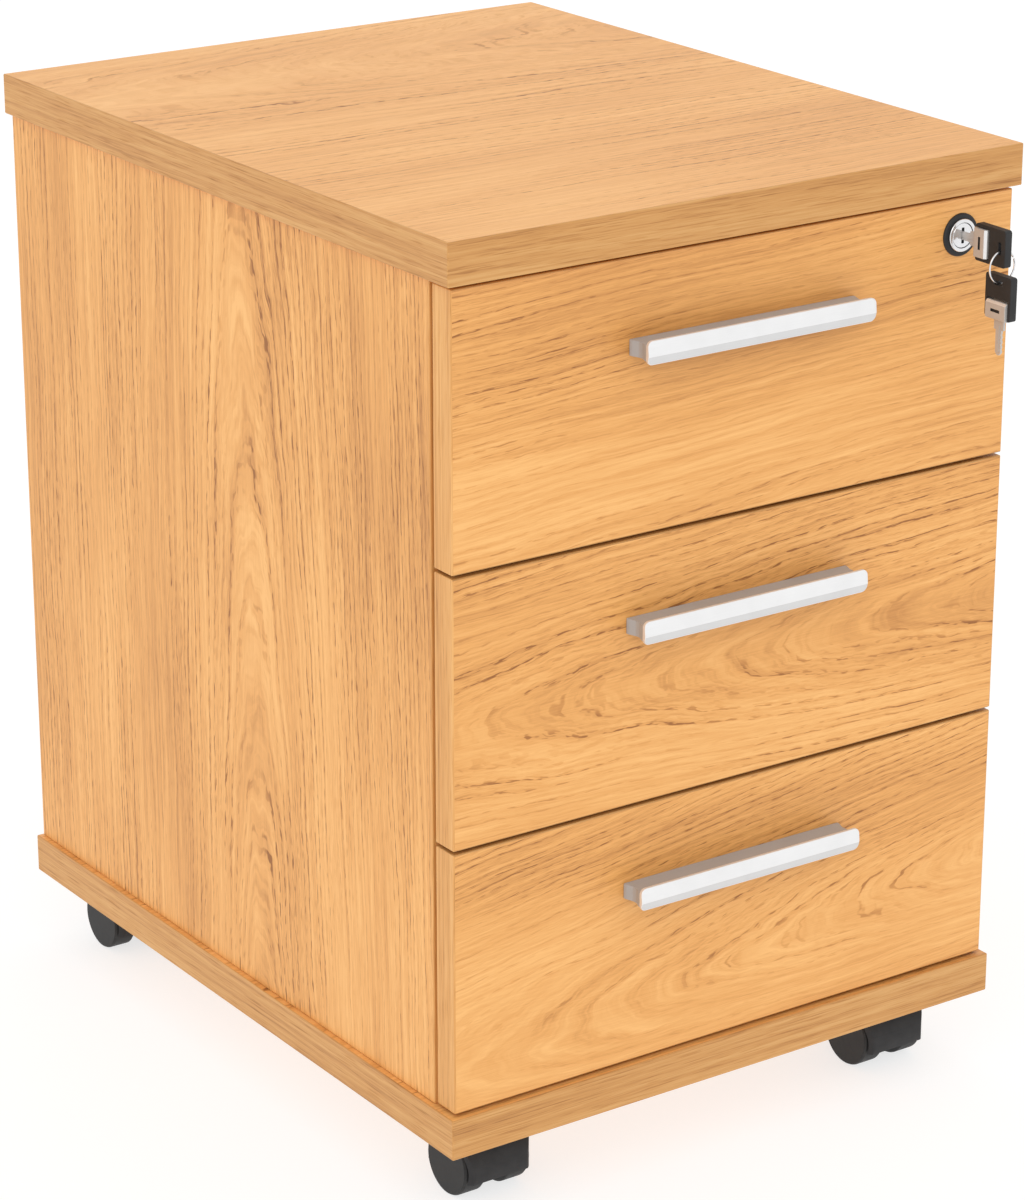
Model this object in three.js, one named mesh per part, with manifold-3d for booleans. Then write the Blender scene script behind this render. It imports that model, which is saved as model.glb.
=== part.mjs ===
// Rolling pedestal cabinet: three drawers in a board carcass, a lock with two keys, four twin-wheel casters.
// Millimetres, +Z up, the drawers open towards -Y, and the floor is at Z = 0.
// Inside the cabinet group, X = 0 is the middle and Y = 0 is the face of the closed drawer fronts.
// The cabinet group is then set back so that the origin lies under the middle of the whole object.

import * as THREE from 'three';
import { mergeVertices } from 'three/addons/utils/BufferGeometryUtils.js';
import Module from 'manifold-3d';

const wasm = await Module();
wasm.setup();

// ---- Driving dimensions ----

const WIDTH = 400;
const DEPTH = 500;
const HEIGHT = 590;
const SLAB = 25; // top and base panels
const BOARD = 18; // side panels and drawer fronts
const BACK_BOARD = 16; // back panel and drawer backs
const BOTTOM_BOARD = 12; // drawer bottoms
const SIDE_INSET = 4; // the sides stand in from the ends of the top panel
const FRONT_OVERHANG = 3.5; // the top panel stands proud of the drawer fronts
const REAR_OVERHANG = 2; // and of the sides' rear edges
const BACK_RECESS = 4.5; // rear face of the back panel, in from the sides' rear edges

const DRAWERS = 3; // number 1 is the top one
const REVEAL = 2; // gap above and below each drawer front
const FRONT_CLEARANCE = 3; // gap between a closed front and the sides' edges
const DRAWER_LENGTH = 400;
const STEEL = 1.2; // sheet of the runners and drawer sides
const DRAWER_SIDE_HEIGHT = 100;
const DRAWER_SIDE_BASE = 10; // above the front's lower edge
const DRAWER_BACK_HEIGHT = 80;
const DRAWER_WALL = 162; // outer face of the steel drawer side, from the middle
const SHELF_FLANGE = 16; // inward flange under the drawer bottom
const TRACK_FLANGE = 11; // outward flange that rides on the front roller
const TRACK_HEIGHT = 24; // its underside, above the front's lower edge

const RUNNER_FRONT = 42;
const RUNNER_BASE = 4;
const RUNNER_HEIGHT = 28;
const RUNNER_FLOOR = 12; // reach of the lower flange
const RUNNER_LIP = 8; // reach of the upper flange
const ROLLER_RADIUS = 6.75;
const ROLLER_WIDTH = 8;
const ROLLER_PIN = 2.5; // radius
const ROLLER_SETBACK = 9; // roller centre from the end of its runner or drawer side

const HANDLE_WIDTH = 160;
const HANDLE_HEIGHT = 14;
const HANDLE_REACH = 20;
const HANDLE_PLATE = 3;
const HANDLE_SKIN = 2;
const HANDLE_DROP = 50; // handle centre, below the drawer front's top edge
const HANDLE_BOSS_SPACING = 128;

const LOCK_X = 157;
const LOCK_Z = 541;
const LOCK_TURN = 90; // degrees from open to locked
const LOCK_BARREL = 9.2; // radius
const LOCK_REAR = 34;
const PLUG_RADIUS = 7.3;
const KEYWAY_HALF_HEIGHT = 4.7;
const CAM_RADIUS = 8.4;
const CAM_THICKNESS = 2.5;
const PIN_RADIUS = 2; // eccentric pin that works the lock bar
const PIN_LENGTH = 8;

const BAR_TRAVEL = 8; // the lock bar drops this far as the lock turns
const BAR_THICKNESS = 2.5;
const BAR_WIDTH = 14;
const BAR_FRONT = 24;
const BAR_BOTTOM = 95;
const BAR_WALL_GAP = 1; // between the bar and the side panel
const ARM_FRONT = 39; // the bar's arm, behind the lock
const ARM_HALF_HEIGHT = 8;
const LUG_REACH = 8.5;
const LUG_GAP = 1.5; // between a lug and its catch while the bar is up
const CATCH_Z = 50; // drawer catch, above the front's lower edge
const CATCH_HEIGHT = 8;
const CATCH_FRONT = 30;
const CATCH_THICKNESS = 3; // the bar's lugs are as thick
const GUIDE_Z = 80; // lock bar guide, above the front's lower edge
const GUIDE_HEIGHT = 16;
const GUIDE_WALL = 2.5;

const KEY_HEAD_WIDTH = 22;
const KEY_HEAD_LENGTH = 25.9;
const KEY_HEAD_THICKNESS = 5;
const KEY_BLADE_THICKNESS = 1.4;
const KEY_AXIS_Y = -21.5; // fold axis of the key in the lock
const KEY_SLOT_OFFSET = 16; // ring slot, from the fold axis
const KEY_SLOT_HALF_WIDTH = 1.2;
const COLLAR_HALF = 5.5; // along the key
const COLLAR_HALF_WIDTH = 8.5; // along the fold axis
const COLLAR_THICKNESS = 8.4;
const FOLD_PIN = 1; // radius
const RING_RADIUS = 9.4;
const RING_WIRE = 0.6;

const CASTER_HEIGHT = 50;
const WHEEL_RADIUS = 20;
const WHEEL_WIDTH = 15;
const WHEEL_GAP = 16; // between the two wheels of a caster
const CASTER_TRAIL = 13; // axle behind the swivel axis
const HOOD_RADIUS = 24;
const HOOD_CAVITY = 21.3; // radius of the room for a wheel
const HOOD_FLOOR = 14; // height of its lower edge
const SWIVEL_RADIUS = 12;
const SWIVEL_BASE = 43;
const STEM_RADIUS = 4;
const STEM_BASE = 30;
const AXLE_RADIUS = 3;
const CASTER_X = 150;
const CASTER_FRONT_Y = 31.5;
const CASTER_REAR_Y = 448.5;

const FIT = 0.3; // gap left between pieces that fit or turn in each other
const ROUND = 32; // sides of a large round piece
const ROUND_SMALL = 16; // and of a small one

// ---- Sizes that follow ----

const SIDE_OUTER = WIDTH / 2 - SIDE_INSET;
const SIDE_INNER = SIDE_OUTER - BOARD;
const SLAB_FRONT = -FRONT_OVERHANG;
const SLAB_REAR = SLAB_FRONT + DEPTH;
const SIDE_FRONT = BOARD + FRONT_CLEARANCE;
const SIDE_REAR = SLAB_REAR - REAR_OVERHANG;
const BASE_TOP = CASTER_HEIGHT + SLAB;
const TOP_UNDERSIDE = HEIGHT - SLAB;
const FRONT_HEIGHT = (TOP_UNDERSIDE - BASE_TOP - (DRAWERS + 1) * REVEAL) / DRAWERS;
const DRAWER_REAR = BOARD + DRAWER_LENGTH;
// The eccentric pin goes from 45 degrees above the lock's axis to 45 below it: its throw is the bar's travel.
const PIN_OFFSET = BAR_TRAVEL / 2;
const PIN_REACH = PIN_OFFSET / Math.cos(THREE.MathUtils.degToRad(LOCK_TURN / 2));
const SLOT_HALF_HEIGHT = 2.4; // key ring slot in the middle of the key head's thickness
const RING_HANG = SLOT_HALF_HEIGHT - RING_WIRE - FIT; // ring wire, below the middle of the slot
const RING_Z = LOCK_Z - RING_HANG - RING_RADIUS;
const RING_Y = KEY_AXIS_Y - KEY_SLOT_OFFSET;
const SPARE_AXIS_Z = RING_Z - RING_RADIUS - KEY_SLOT_OFFSET;
const OBJECT_FRONT = RING_Y - KEY_HEAD_WIDTH / 2;
const HOOD_HALF_WIDTH = WHEEL_GAP / 2 + WHEEL_WIDTH;
const AXLE_HALF = HOOD_HALF_WIDTH - 1.7;

function frontBottom(drawer) {
  return BASE_TOP + REVEAL + (DRAWERS - drawer) * (FRONT_HEIGHT + REVEAL);
}

// ---- Geometry helpers ----

function box([x0, x1], [y0, y1], [z0, z1]) {
  const geometry = new THREE.BoxGeometry(x1 - x0, y1 - y0, z1 - z0);
  return geometry.translate((x0 + x1) / 2, (y0 + y1) / 2, (z0 + z1) / 2);
}

// A [low, high] pair on the right, or its mirror image on the left.
function onSide(side, low, high) {
  return side > 0 ? [low, high] : [-high, -low];
}

function rodX(radius, x0, x1, y, z, sides = ROUND_SMALL) {
  const geometry = new THREE.CylinderGeometry(radius, radius, x1 - x0, sides);
  return geometry.rotateZ(-Math.PI / 2).translate((x0 + x1) / 2, y, z);
}

function rodY(radius, x, y0, y1, z, sides = ROUND_SMALL) {
  const geometry = new THREE.CylinderGeometry(radius, radius, y1 - y0, sides);
  return geometry.translate(x, (y0 + y1) / 2, z);
}

function rodZ(radius, x, y, z0, z1, sides = ROUND_SMALL) {
  const geometry = new THREE.CylinderGeometry(radius, radius, z1 - z0, sides);
  return geometry.rotateX(Math.PI / 2).translate(x, y, (z0 + z1) / 2);
}

function outline(points) {
  return new THREE.Shape(points.map(([u, v]) => new THREE.Vector2(u, v)));
}

function roundedRectangle(u, v, radius) {
  const shape = new THREE.Shape();
  shape.absarc(u - radius, v - radius, radius, 0, Math.PI / 2);
  shape.absarc(-u + radius, v - radius, radius, Math.PI / 2, Math.PI);
  shape.absarc(-u + radius, -v + radius, radius, Math.PI, 1.5 * Math.PI);
  shape.absarc(u - radius, -v + radius, radius, 1.5 * Math.PI, 2 * Math.PI);
  return shape;
}

const ALONG = {
  x: new THREE.Matrix4().set(0, 0, 1, 0, 1, 0, 0, 0, 0, 1, 0, 0, 0, 0, 0, 1),
  y: new THREE.Matrix4().set(1, 0, 0, 0, 0, 0, -1, 0, 0, 1, 0, 0, 0, 0, 0, 1),
  z: new THREE.Matrix4(),
};

// The outline is in (y, z) for an extrusion along x, (x, z) along y and (x, y) along z.
function extrude(shape, axis, low, high, curveSegments = 5) {
  const settings = { depth: high - low, bevelEnabled: false, curveSegments };
  const geometry = new THREE.ExtrudeGeometry(shape, settings);
  geometry.translate(0, 0, axis === 'y' ? -high : low);
  return geometry.applyMatrix4(ALONG[axis]);
}

function lathe(profile, sides) {
  return new THREE.LatheGeometry(profile.map(([r, h]) => new THREE.Vector2(r, h)), sides);
}

// ---- Joining and cutting ----

function toSolid(geometry) {
  const bare = geometry.clone();
  bare.deleteAttribute('normal');
  bare.deleteAttribute('uv');
  const merged = mergeVertices(bare, 1e-4);
  const index = merged.index.array;
  const triVerts = [];
  for (let i = 0; i < index.length; i += 3) {
    const [a, b, c] = [index[i], index[i + 1], index[i + 2]];
    if (a !== b && b !== c && c !== a) triVerts.push(a, b, c);
  }
  const vertProperties = Float32Array.from(merged.attributes.position.array);
  const mesh = new wasm.Mesh({ numProp: 3, vertProperties, triVerts: Uint32Array.from(triVerts) });
  return new wasm.Manifold(mesh);
}

function toGeometry(solid) {
  const { vertProperties, triVerts } = solid.getMesh();
  const geometry = new THREE.BufferGeometry();
  geometry.setAttribute('position', new THREE.BufferAttribute(vertProperties, 3));
  geometry.setIndex(new THREE.BufferAttribute(triVerts, 1));
  geometry.computeVertexNormals();
  return geometry;
}

function join(...geometries) {
  return toGeometry(geometries.map(toSolid).reduce((sum, piece) => sum.add(piece)));
}

function cut(geometry, ...tools) {
  return toGeometry(tools.map(toSolid).reduce((rest, tool) => rest.subtract(tool), toSolid(geometry)));
}

function common(a, b) {
  return toGeometry(toSolid(a).intersect(toSolid(b)));
}

// ---- Materials ----

const FINISHES = {
  laminate: { color: 0xd9a066, roughness: 0.5, metalness: 0 },
  runnerSteel: { color: 0xe6e6e4, roughness: 0.45, metalness: 0.4 },
  drawerSteel: { color: 0xd9dadb, roughness: 0.5, metalness: 0.2 },
  drawerBoard: { color: 0xe9e8e4, roughness: 0.6, metalness: 0 },
  satinMetal: { color: 0xc9c8c6, roughness: 0.35, metalness: 0.9 },
  chrome: { color: 0xdedede, roughness: 0.15, metalness: 1 },
  zincSteel: { color: 0xb9bcbf, roughness: 0.4, metalness: 0.9 },
  nylon: { color: 0xdcdcd6, roughness: 0.6, metalness: 0 },
  blackPlastic: { color: 0x2b2b2d, roughness: 0.55, metalness: 0 },
  wheelPlastic: { color: 0x363638, roughness: 0.6, metalness: 0 },
};

function piece(name, finish, geometry) {
  const mesh = new THREE.Mesh(geometry, new THREE.MeshStandardMaterial(FINISHES[finish]));
  mesh.name = name;
  return mesh;
}

function placed(group, x, y, z) {
  group.position.set(x, y, z);
  return group;
}

// ---- Carcass ----

function carcass() {
  const group = new THREE.Group();
  const wide = [-WIDTH / 2, WIDTH / 2];
  const deep = [SLAB_FRONT, SLAB_REAR];
  const tall = [BASE_TOP, TOP_UNDERSIDE];
  const backRear = SIDE_REAR - BACK_RECESS;
  group.add(piece('top_panel', 'laminate', box(wide, deep, [TOP_UNDERSIDE, HEIGHT])));
  group.add(piece('base_panel', 'laminate', box(wide, deep, [CASTER_HEIGHT, BASE_TOP])));
  for (const [name, side] of [['left', -1], ['right', 1]]) {
    const across = onSide(side, SIDE_INNER, SIDE_OUTER);
    group.add(piece(`side_panel_${name}`, 'laminate', box(across, [SIDE_FRONT, SIDE_REAR], tall)));
  }
  const inside = [-SIDE_INNER, SIDE_INNER];
  group.add(piece('back_panel', 'laminate', box(inside, [backRear - BACK_BOARD, backRear], tall)));
  return group;
}

// ---- Runners: a steel channel on the side panel, with a nylon roller riveted in its front end ----

function runner(side) {
  const wall = SIDE_INNER - STEEL;
  const low = RUNNER_BASE;
  const high = RUNNER_BASE + RUNNER_HEIGHT;
  const channel = outline([
    [SIDE_INNER, low],
    [SIDE_INNER, high],
    [SIDE_INNER - RUNNER_LIP, high],
    [SIDE_INNER - RUNNER_LIP, high - STEEL],
    [wall, high - STEEL],
    [wall, low + STEEL],
    [SIDE_INNER - RUNNER_FLOOR, low + STEEL],
    [SIDE_INNER - RUNNER_FLOOR, low],
  ].map(([x, z]) => [side * x, z]));
  const rollerY = RUNNER_FRONT + ROLLER_SETBACK;
  const rollerZ = TRACK_HEIGHT - FIT - ROLLER_RADIUS;
  const rollerInner = SIDE_INNER - RUNNER_FLOOR + 1;
  const roller = onSide(side, rollerInner, rollerInner + ROLLER_WIDTH);
  const pin = onSide(side, rollerInner + 1, SIDE_INNER - STEEL / 2);
  return join(
    extrude(channel, 'y', RUNNER_FRONT, RUNNER_FRONT + DRAWER_LENGTH),
    rodX(ROLLER_RADIUS, ...roller, rollerY, rollerZ),
    rodX(ROLLER_PIN, ...pin, rollerY, rollerZ),
  );
}

function runners() {
  const group = new THREE.Group();
  const left = runner(-1);
  const right = runner(1);
  for (let drawer = 1; drawer <= DRAWERS; drawer += 1) {
    const pair = placed(new THREE.Group(), 0, 0, frontBottom(drawer));
    pair.add(piece(`cabinet_runner_${drawer}_left`, 'runnerSteel', left));
    pair.add(piece(`cabinet_runner_${drawer}_right`, 'runnerSteel', right));
    group.add(pair);
  }
  return group;
}

// ---- Drawers, each modelled above the lower edge of its front ----

// A bent steel side: shelf flange inwards, track flange outwards, screw flange behind the front,
// with a nylon roller riveted at the rear end. The right one has the catch that the lock bar holds.
function drawerSide(side) {
  const inner = DRAWER_WALL - STEEL;
  const low = DRAWER_SIDE_BASE;
  const high = low + DRAWER_SIDE_HEIGHT;
  const profile = outline([
    [DRAWER_WALL, low],
    [DRAWER_WALL, TRACK_HEIGHT],
    [DRAWER_WALL + TRACK_FLANGE, TRACK_HEIGHT],
    [DRAWER_WALL + TRACK_FLANGE, TRACK_HEIGHT + STEEL],
    [DRAWER_WALL, TRACK_HEIGHT + STEEL],
    [DRAWER_WALL, high],
    [inner, high],
    [inner, low + STEEL],
    [inner - SHELF_FLANGE, low + STEEL],
    [inner - SHELF_FLANGE, low],
  ].map(([x, z]) => [side * x, z]));
  const rollerY = DRAWER_REAR - ROLLER_SETBACK;
  const rollerZ = RUNNER_BASE + STEEL + FIT + ROLLER_RADIUS;
  const rollerInner = DRAWER_WALL + 2;
  const roller = onSide(side, rollerInner, rollerInner + ROLLER_WIDTH);
  const pin = onSide(side, inner + STEEL / 2, rollerInner + 1);
  const flangeAcross = onSide(side, inner - SHELF_FLANGE, inner + STEEL / 2);
  const screwFlange = box(flangeAcross, [BOARD, BOARD + STEEL], [low + 20, high - 10]);
  const pieces = [
    extrude(profile, 'y', BOARD, DRAWER_REAR),
    screwFlange,
    rodX(ROLLER_RADIUS, ...roller, rollerY, rollerZ),
    rodX(ROLLER_PIN, ...pin, rollerY, rollerZ),
  ];
  if (side > 0) {
    const across = [DRAWER_WALL - STEEL / 2, DRAWER_WALL + TRACK_FLANGE - 1];
    const along = [CATCH_FRONT, CATCH_FRONT + CATCH_THICKNESS];
    pieces.push(box(across, along, [CATCH_Z, CATCH_Z + CATCH_HEIGHT]));
  }
  return join(...pieces);
}

function drawerFront(drawer) {
  const board = box([-SIDE_OUTER, SIDE_OUTER], [0, BOARD], [0, FRONT_HEIGHT]);
  if (drawer > 1) return board;
  return cut(board, rodY(LOCK_BARREL + FIT, LOCK_X, -1, BOARD + 1, LOCK_Z - frontBottom(1), ROUND));
}

// A bow plate with a crease in its face, one skin over the finger space, and two screw bosses.
function handle() {
  const reach = HANDLE_REACH;
  const half = HANDLE_HEIGHT / 2;
  const back = HANDLE_PLATE - reach;
  const root = back - 0.5; // the skin, ends and bosses run this far into the plate
  const skinTop = half - 3;
  const skinHalf = HANDLE_WIDTH / 2 - 1.2;
  const section = outline([
    [0.8 - reach, half],
    [back, half],
    [back, -half],
    [1.4 - reach, -half],
    [-reach, -1.5],
  ]);
  const silhouette = roundedRectangle(HANDLE_WIDTH / 2, half, 3.5);
  const plate = common(
    extrude(section, 'x', -HANDLE_WIDTH / 2, HANDLE_WIDTH / 2),
    extrude(silhouette, 'y', -reach - 1, back + 1, 3),
  );
  const pieces = [plate, box([-skinHalf, skinHalf], [root, 0], [skinTop - HANDLE_SKIN, skinTop])];
  for (const side of [-1, 1]) {
    const bossRadius = 4.5;
    const bossX = side * HANDLE_BOSS_SPACING / 2;
    pieces.push(box(onSide(side, skinHalf - HANDLE_SKIN, skinHalf), [root, 0], [2 - half, skinTop]));
    pieces.push(rodY(bossRadius, bossX, root, 0, skinTop - bossRadius));
  }
  return join(...pieces);
}

function drawers() {
  const group = new THREE.Group();
  const sideLeft = drawerSide(-1);
  const sideRight = drawerSide(1);
  const handleGeometry = handle();
  const between = [FIT + STEEL - DRAWER_WALL, DRAWER_WALL - STEEL - FIT];
  const bottomLow = DRAWER_SIDE_BASE + STEEL;
  const bottomHigh = bottomLow + BOTTOM_BOARD;
  const bottom = box(between, [BOARD + STEEL + FIT, DRAWER_REAR], [bottomLow, bottomHigh]);
  const backTop = bottomHigh + DRAWER_BACK_HEIGHT;
  const back = box(between, [DRAWER_REAR - BACK_BOARD, DRAWER_REAR], [bottomHigh, backTop]);
  for (let drawer = 1; drawer <= DRAWERS; drawer += 1) {
    const unit = placed(new THREE.Group(), 0, 0, frontBottom(drawer));
    unit.add(piece(`drawer_front_${drawer}`, 'laminate', drawerFront(drawer)));
    unit.add(piece(`drawer_side_left_${drawer}`, 'drawerSteel', sideLeft));
    unit.add(piece(`drawer_side_right_${drawer}`, 'drawerSteel', sideRight));
    unit.add(piece(`drawer_back_${drawer}`, 'drawerBoard', back));
    unit.add(piece(`drawer_bottom_${drawer}`, 'drawerBoard', bottom));
    const grip = piece(`handle_${drawer}`, 'satinMetal', handleGeometry);
    unit.add(placed(grip, 0, 0, FRONT_HEIGHT - HANDLE_DROP));
    group.add(unit);
  }
  return group;
}

// ---- Lock, modelled about its own axis, with its face towards -Y ----

function lockRosette() {
  const bore = LOCK_BARREL + FIT;
  return lathe([[bore, -1.6], [12, -1.6], [12.75, -0.9], [12.75, 0], [bore, 0], [bore, -1.6]], ROUND);
}

function lockHousing() {
  const bore = PLUG_RADIUS + FIT;
  const profile = [[bore, -2.9], [9.3, -2.9], [9.75, -2.5], [9.75, -1.9], [LOCK_BARREL, -1.9]];
  const barrel = lathe([...profile, [LOCK_BARREL, LOCK_REAR], [bore, LOCK_REAR], [bore, -2.9]], ROUND);
  const plateFront = BOARD + FIT;
  const plate = box([-18, 18], [plateFront, plateFront + 2.5], [-10, 10]);
  return join(barrel, cut(plate, rodY(LOCK_BARREL - 0.8, 0, BOARD, plateFront + 4, 0, ROUND)));
}

function lockPlug() {
  const camFront = LOCK_REAR + FIT;
  const camRear = camFront + CAM_THICKNESS;
  const body = lathe([
    [0, -2.6],
    [PLUG_RADIUS, -2.6],
    [PLUG_RADIUS, camFront],
    [CAM_RADIUS, camFront],
    [CAM_RADIUS, camRear],
    [0, camRear],
  ], ROUND);
  const pin = rodY(PIN_RADIUS, PIN_OFFSET, camRear - 1, camRear + PIN_LENGTH, PIN_OFFSET);
  const keyway = box([-1, 1], [-4, 20], [-KEYWAY_HALF_HEIGHT, KEYWAY_HALF_HEIGHT]);
  return cut(join(body, pin), keyway);
}

function lock() {
  const group = placed(new THREE.Group(), LOCK_X, 0, LOCK_Z);
  group.add(piece('lock_rosette', 'blackPlastic', lockRosette()));
  group.add(piece('lock_housing', 'chrome', lockHousing()));
  group.add(piece('lock_plug', 'chrome', lockPlug()));
  return group;
}

// ---- Lock bar: a steel strip that hangs its three lugs in front of the drawers' catches when it drops ----

function lockBar() {
  const outer = SIDE_INNER - BAR_WALL_GAP;
  const inner = outer - BAR_THICKNESS;
  const pinZ = LOCK_Z + PIN_OFFSET;
  const armZ = [pinZ - ARM_HALF_HEIGHT, pinZ + ARM_HALF_HEIGHT];
  const armY = [ARM_FRONT, ARM_FRONT + BAR_THICKNESS];
  const slack = PIN_RADIUS + 2 * FIT;
  const slotX = [LOCK_X + PIN_OFFSET - slack, LOCK_X + PIN_REACH + slack];
  const slot = box(slotX, [ARM_FRONT - 1, armY[1] + 1], [pinZ - slack, pinZ + slack]);
  const pieces = [
    box([inner, outer], [BAR_FRONT, BAR_FRONT + BAR_WIDTH], [BAR_BOTTOM, armZ[1]]),
    box([inner, outer], [BAR_FRONT + BAR_WIDTH - 1, armY[1]], armZ),
    cut(box([LOCK_X - 4, outer], armY, armZ), slot),
  ];
  for (let drawer = 1; drawer <= DRAWERS; drawer += 1) {
    const low = frontBottom(drawer) + CATCH_Z + CATCH_HEIGHT + LUG_GAP;
    const lugRear = CATCH_FRONT - 2;
    const lugY = [lugRear - CATCH_THICKNESS, lugRear];
    pieces.push(box([inner - LUG_REACH, inner + 1], lugY, [low, low + BAR_TRAVEL + LUG_GAP]));
  }
  return join(...pieces);
}

function lockBarGuide(drawer) {
  const low = frontBottom(drawer) + GUIDE_Z;
  const barInner = SIDE_INNER - BAR_WALL_GAP - BAR_THICKNESS;
  const barRear = BAR_FRONT + BAR_WIDTH;
  const high = low + GUIDE_HEIGHT;
  const blockY = [BAR_FRONT - GUIDE_WALL, barRear + GUIDE_WALL];
  const block = box([barInner - GUIDE_WALL, SIDE_INNER], blockY, [low, high]);
  const channelY = [BAR_FRONT - FIT, barRear + FIT];
  return cut(block, box([barInner - FIT, SIDE_INNER + 1], channelY, [low - 1, high + 1]));
}

function lockBarParts() {
  const group = new THREE.Group();
  group.add(piece('lock_bar', 'zincSteel', lockBar()));
  group.add(piece('lock_bar_guide_upper', 'nylon', lockBarGuide(1)));
  group.add(piece('lock_bar_guide_lower', 'nylon', lockBarGuide(DRAWERS)));
  return group;
}

// ---- Keys: the fold axis is Z at the key's own origin, the blade points along +Y and the head along -Y ----

// The ring slot opens out towards both faces of the head, so that the ring can swing in it.
function ringSlot() {
  const depth = KEY_HEAD_THICKNESS / 2 + 0.5;
  const flare = 1.6;
  const halfWidth = [-KEY_SLOT_HALF_WIDTH, KEY_SLOT_HALF_WIDTH];
  const halves = [-1, 1].map((side) => {
    const half = box(onSide(side, 0, depth), halfWidth, [-SLOT_HALF_HEIGHT, SLOT_HALF_HEIGHT]);
    const corners = half.attributes.position;
    for (let i = 0; i < corners.count; i += 1) {
      const spread = side * corners.getX(i) > depth / 2 ? flare : 0;
      corners.setZ(i, corners.getZ(i) + Math.sign(corners.getZ(i)) * spread);
    }
    return half;
  });
  return join(...halves).translate(0, -KEY_SLOT_OFFSET, 0);
}

function keyHead() {
  const front = COLLAR_HALF - 0.4;
  const halfThickness = KEY_HEAD_THICKNESS / 2;
  const silhouette = roundedRectangle(KEY_HEAD_LENGTH / 2, KEY_HEAD_WIDTH / 2, 1.5);
  const slab = extrude(silhouette, 'x', -halfThickness, halfThickness, 2);
  slab.translate(0, front - KEY_HEAD_LENGTH / 2, 0);
  const notchHalf = COLLAR_HALF_WIDTH + FIT;
  const notch = box([-5, 5], [-COLLAR_HALF - 1.1, front + 1], [-notchHalf, notchHalf]);
  const pinHole = rodZ(FOLD_PIN + FIT, 0, 0, -KEY_HEAD_WIDTH, KEY_HEAD_WIDTH, 12);
  return cut(slab, notch, pinHole, ringSlot());
}

// Collar with the fold pin's two ends, shoulder and blade.
function keyBlade() {
  const half = COLLAR_THICKNESS / 2;
  const ease = 1.2;
  const collar = outline([
    [half - ease, -COLLAR_HALF],
    [half, ease - COLLAR_HALF],
    [half, COLLAR_HALF - ease],
    [half - ease, COLLAR_HALF],
    [ease - half, COLLAR_HALF],
    [-half, COLLAR_HALF - ease],
    [-half, ease - COLLAR_HALF],
    [ease - half, -COLLAR_HALF],
  ]);
  const shank = outline([
    [COLLAR_HALF - 1, -4.2],
    [11.9, -4.2],
    [11.9, -2.5],
    [25, -2.5],
    [27, -0.8],
    [27, 0.8],
    [25, 2.5],
    [11.9, 2.5],
    [11.9, 4.2],
    [COLLAR_HALF - 1, 4.2],
  ]);
  const pinEnd = KEY_HEAD_WIDTH / 2 - 0.4;
  return join(
    extrude(collar, 'z', -COLLAR_HALF_WIDTH, COLLAR_HALF_WIDTH),
    rodZ(FOLD_PIN, 0, 0, -pinEnd, pinEnd, 12),
    extrude(shank, 'x', -KEY_BLADE_THICKNESS / 2, KEY_BLADE_THICKNESS / 2),
  );
}

function keys() {
  const group = new THREE.Group();
  const head = keyHead();
  const blade = keyBlade();
  const inLock = placed(new THREE.Group(), LOCK_X, KEY_AXIS_Y, LOCK_Z);
  inLock.add(piece('key_head', 'blackPlastic', head), piece('key_blade', 'satinMetal', blade));
  const spare = placed(new THREE.Group(), LOCK_X, RING_Y, SPARE_AXIS_Z);
  spare.rotation.x = -Math.PI / 2;
  spare.add(piece('spare_key_head', 'blackPlastic', head), piece('spare_key_blade', 'satinMetal', blade));
  const ring = new THREE.TorusGeometry(RING_RADIUS, RING_WIRE, 8, 36).rotateX(Math.PI / 2);
  group.add(inLock, spare, placed(piece('key_ring', 'chrome', ring), LOCK_X, RING_Y, RING_Z));
  return group;
}

// ---- Casters, each modelled about its swivel axis, standing on the floor ----

function casterPlate() {
  return join(
    box([-19, 19], [-19, 19], [CASTER_HEIGHT - 2, CASTER_HEIGHT]),
    rodZ(SWIVEL_RADIUS, 0, 0, SWIVEL_BASE, CASTER_HEIGHT - 1, ROUND),
    rodZ(STEM_RADIUS, 0, 0, STEM_BASE, SWIVEL_BASE + 1),
  );
}

// A cover over both wheels with a web between them that holds the stem and the axle.
function casterHood() {
  const lowAngle = Math.asin((HOOD_FLOOR - WHEEL_RADIUS) / HOOD_RADIUS);
  const side = new THREE.Shape();
  side.absarc(CASTER_TRAIL, WHEEL_RADIUS, HOOD_RADIUS, lowAngle, Math.PI - lowAngle);
  const plan = extrude(roundedRectangle(HOOD_HALF_WIDTH, HOOD_RADIUS, 8), 'z', 0, CASTER_HEIGHT, 4);
  plan.translate(0, CASTER_TRAIL, 0);
  const cover = common(extrude(side, 'x', -HOOD_HALF_WIDTH, HOOD_HALF_WIDTH, 20), plan);
  const bossTop = SWIVEL_BASE - FIT;
  const boss = rodZ(SWIVEL_RADIUS, 0, 0, SWIVEL_BASE - 8, bossTop, ROUND);
  const web = WHEEL_GAP / 2 - 0.5;
  return cut(
    join(cover, boss),
    rodX(HOOD_CAVITY, web, HOOD_HALF_WIDTH + 1, CASTER_TRAIL, WHEEL_RADIUS, ROUND),
    rodX(HOOD_CAVITY, -HOOD_HALF_WIDTH - 1, -web, CASTER_TRAIL, WHEEL_RADIUS, ROUND),
    rodZ(SWIVEL_RADIUS + 0.6, 0, 0, bossTop, CASTER_HEIGHT, ROUND),
    rodZ(STEM_RADIUS + FIT, 0, 0, STEM_BASE - 1, CASTER_HEIGHT),
    rodX(AXLE_RADIUS + FIT, -HOOD_HALF_WIDTH, HOOD_HALF_WIDTH, CASTER_TRAIL, WHEEL_RADIUS),
  );
}

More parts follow.
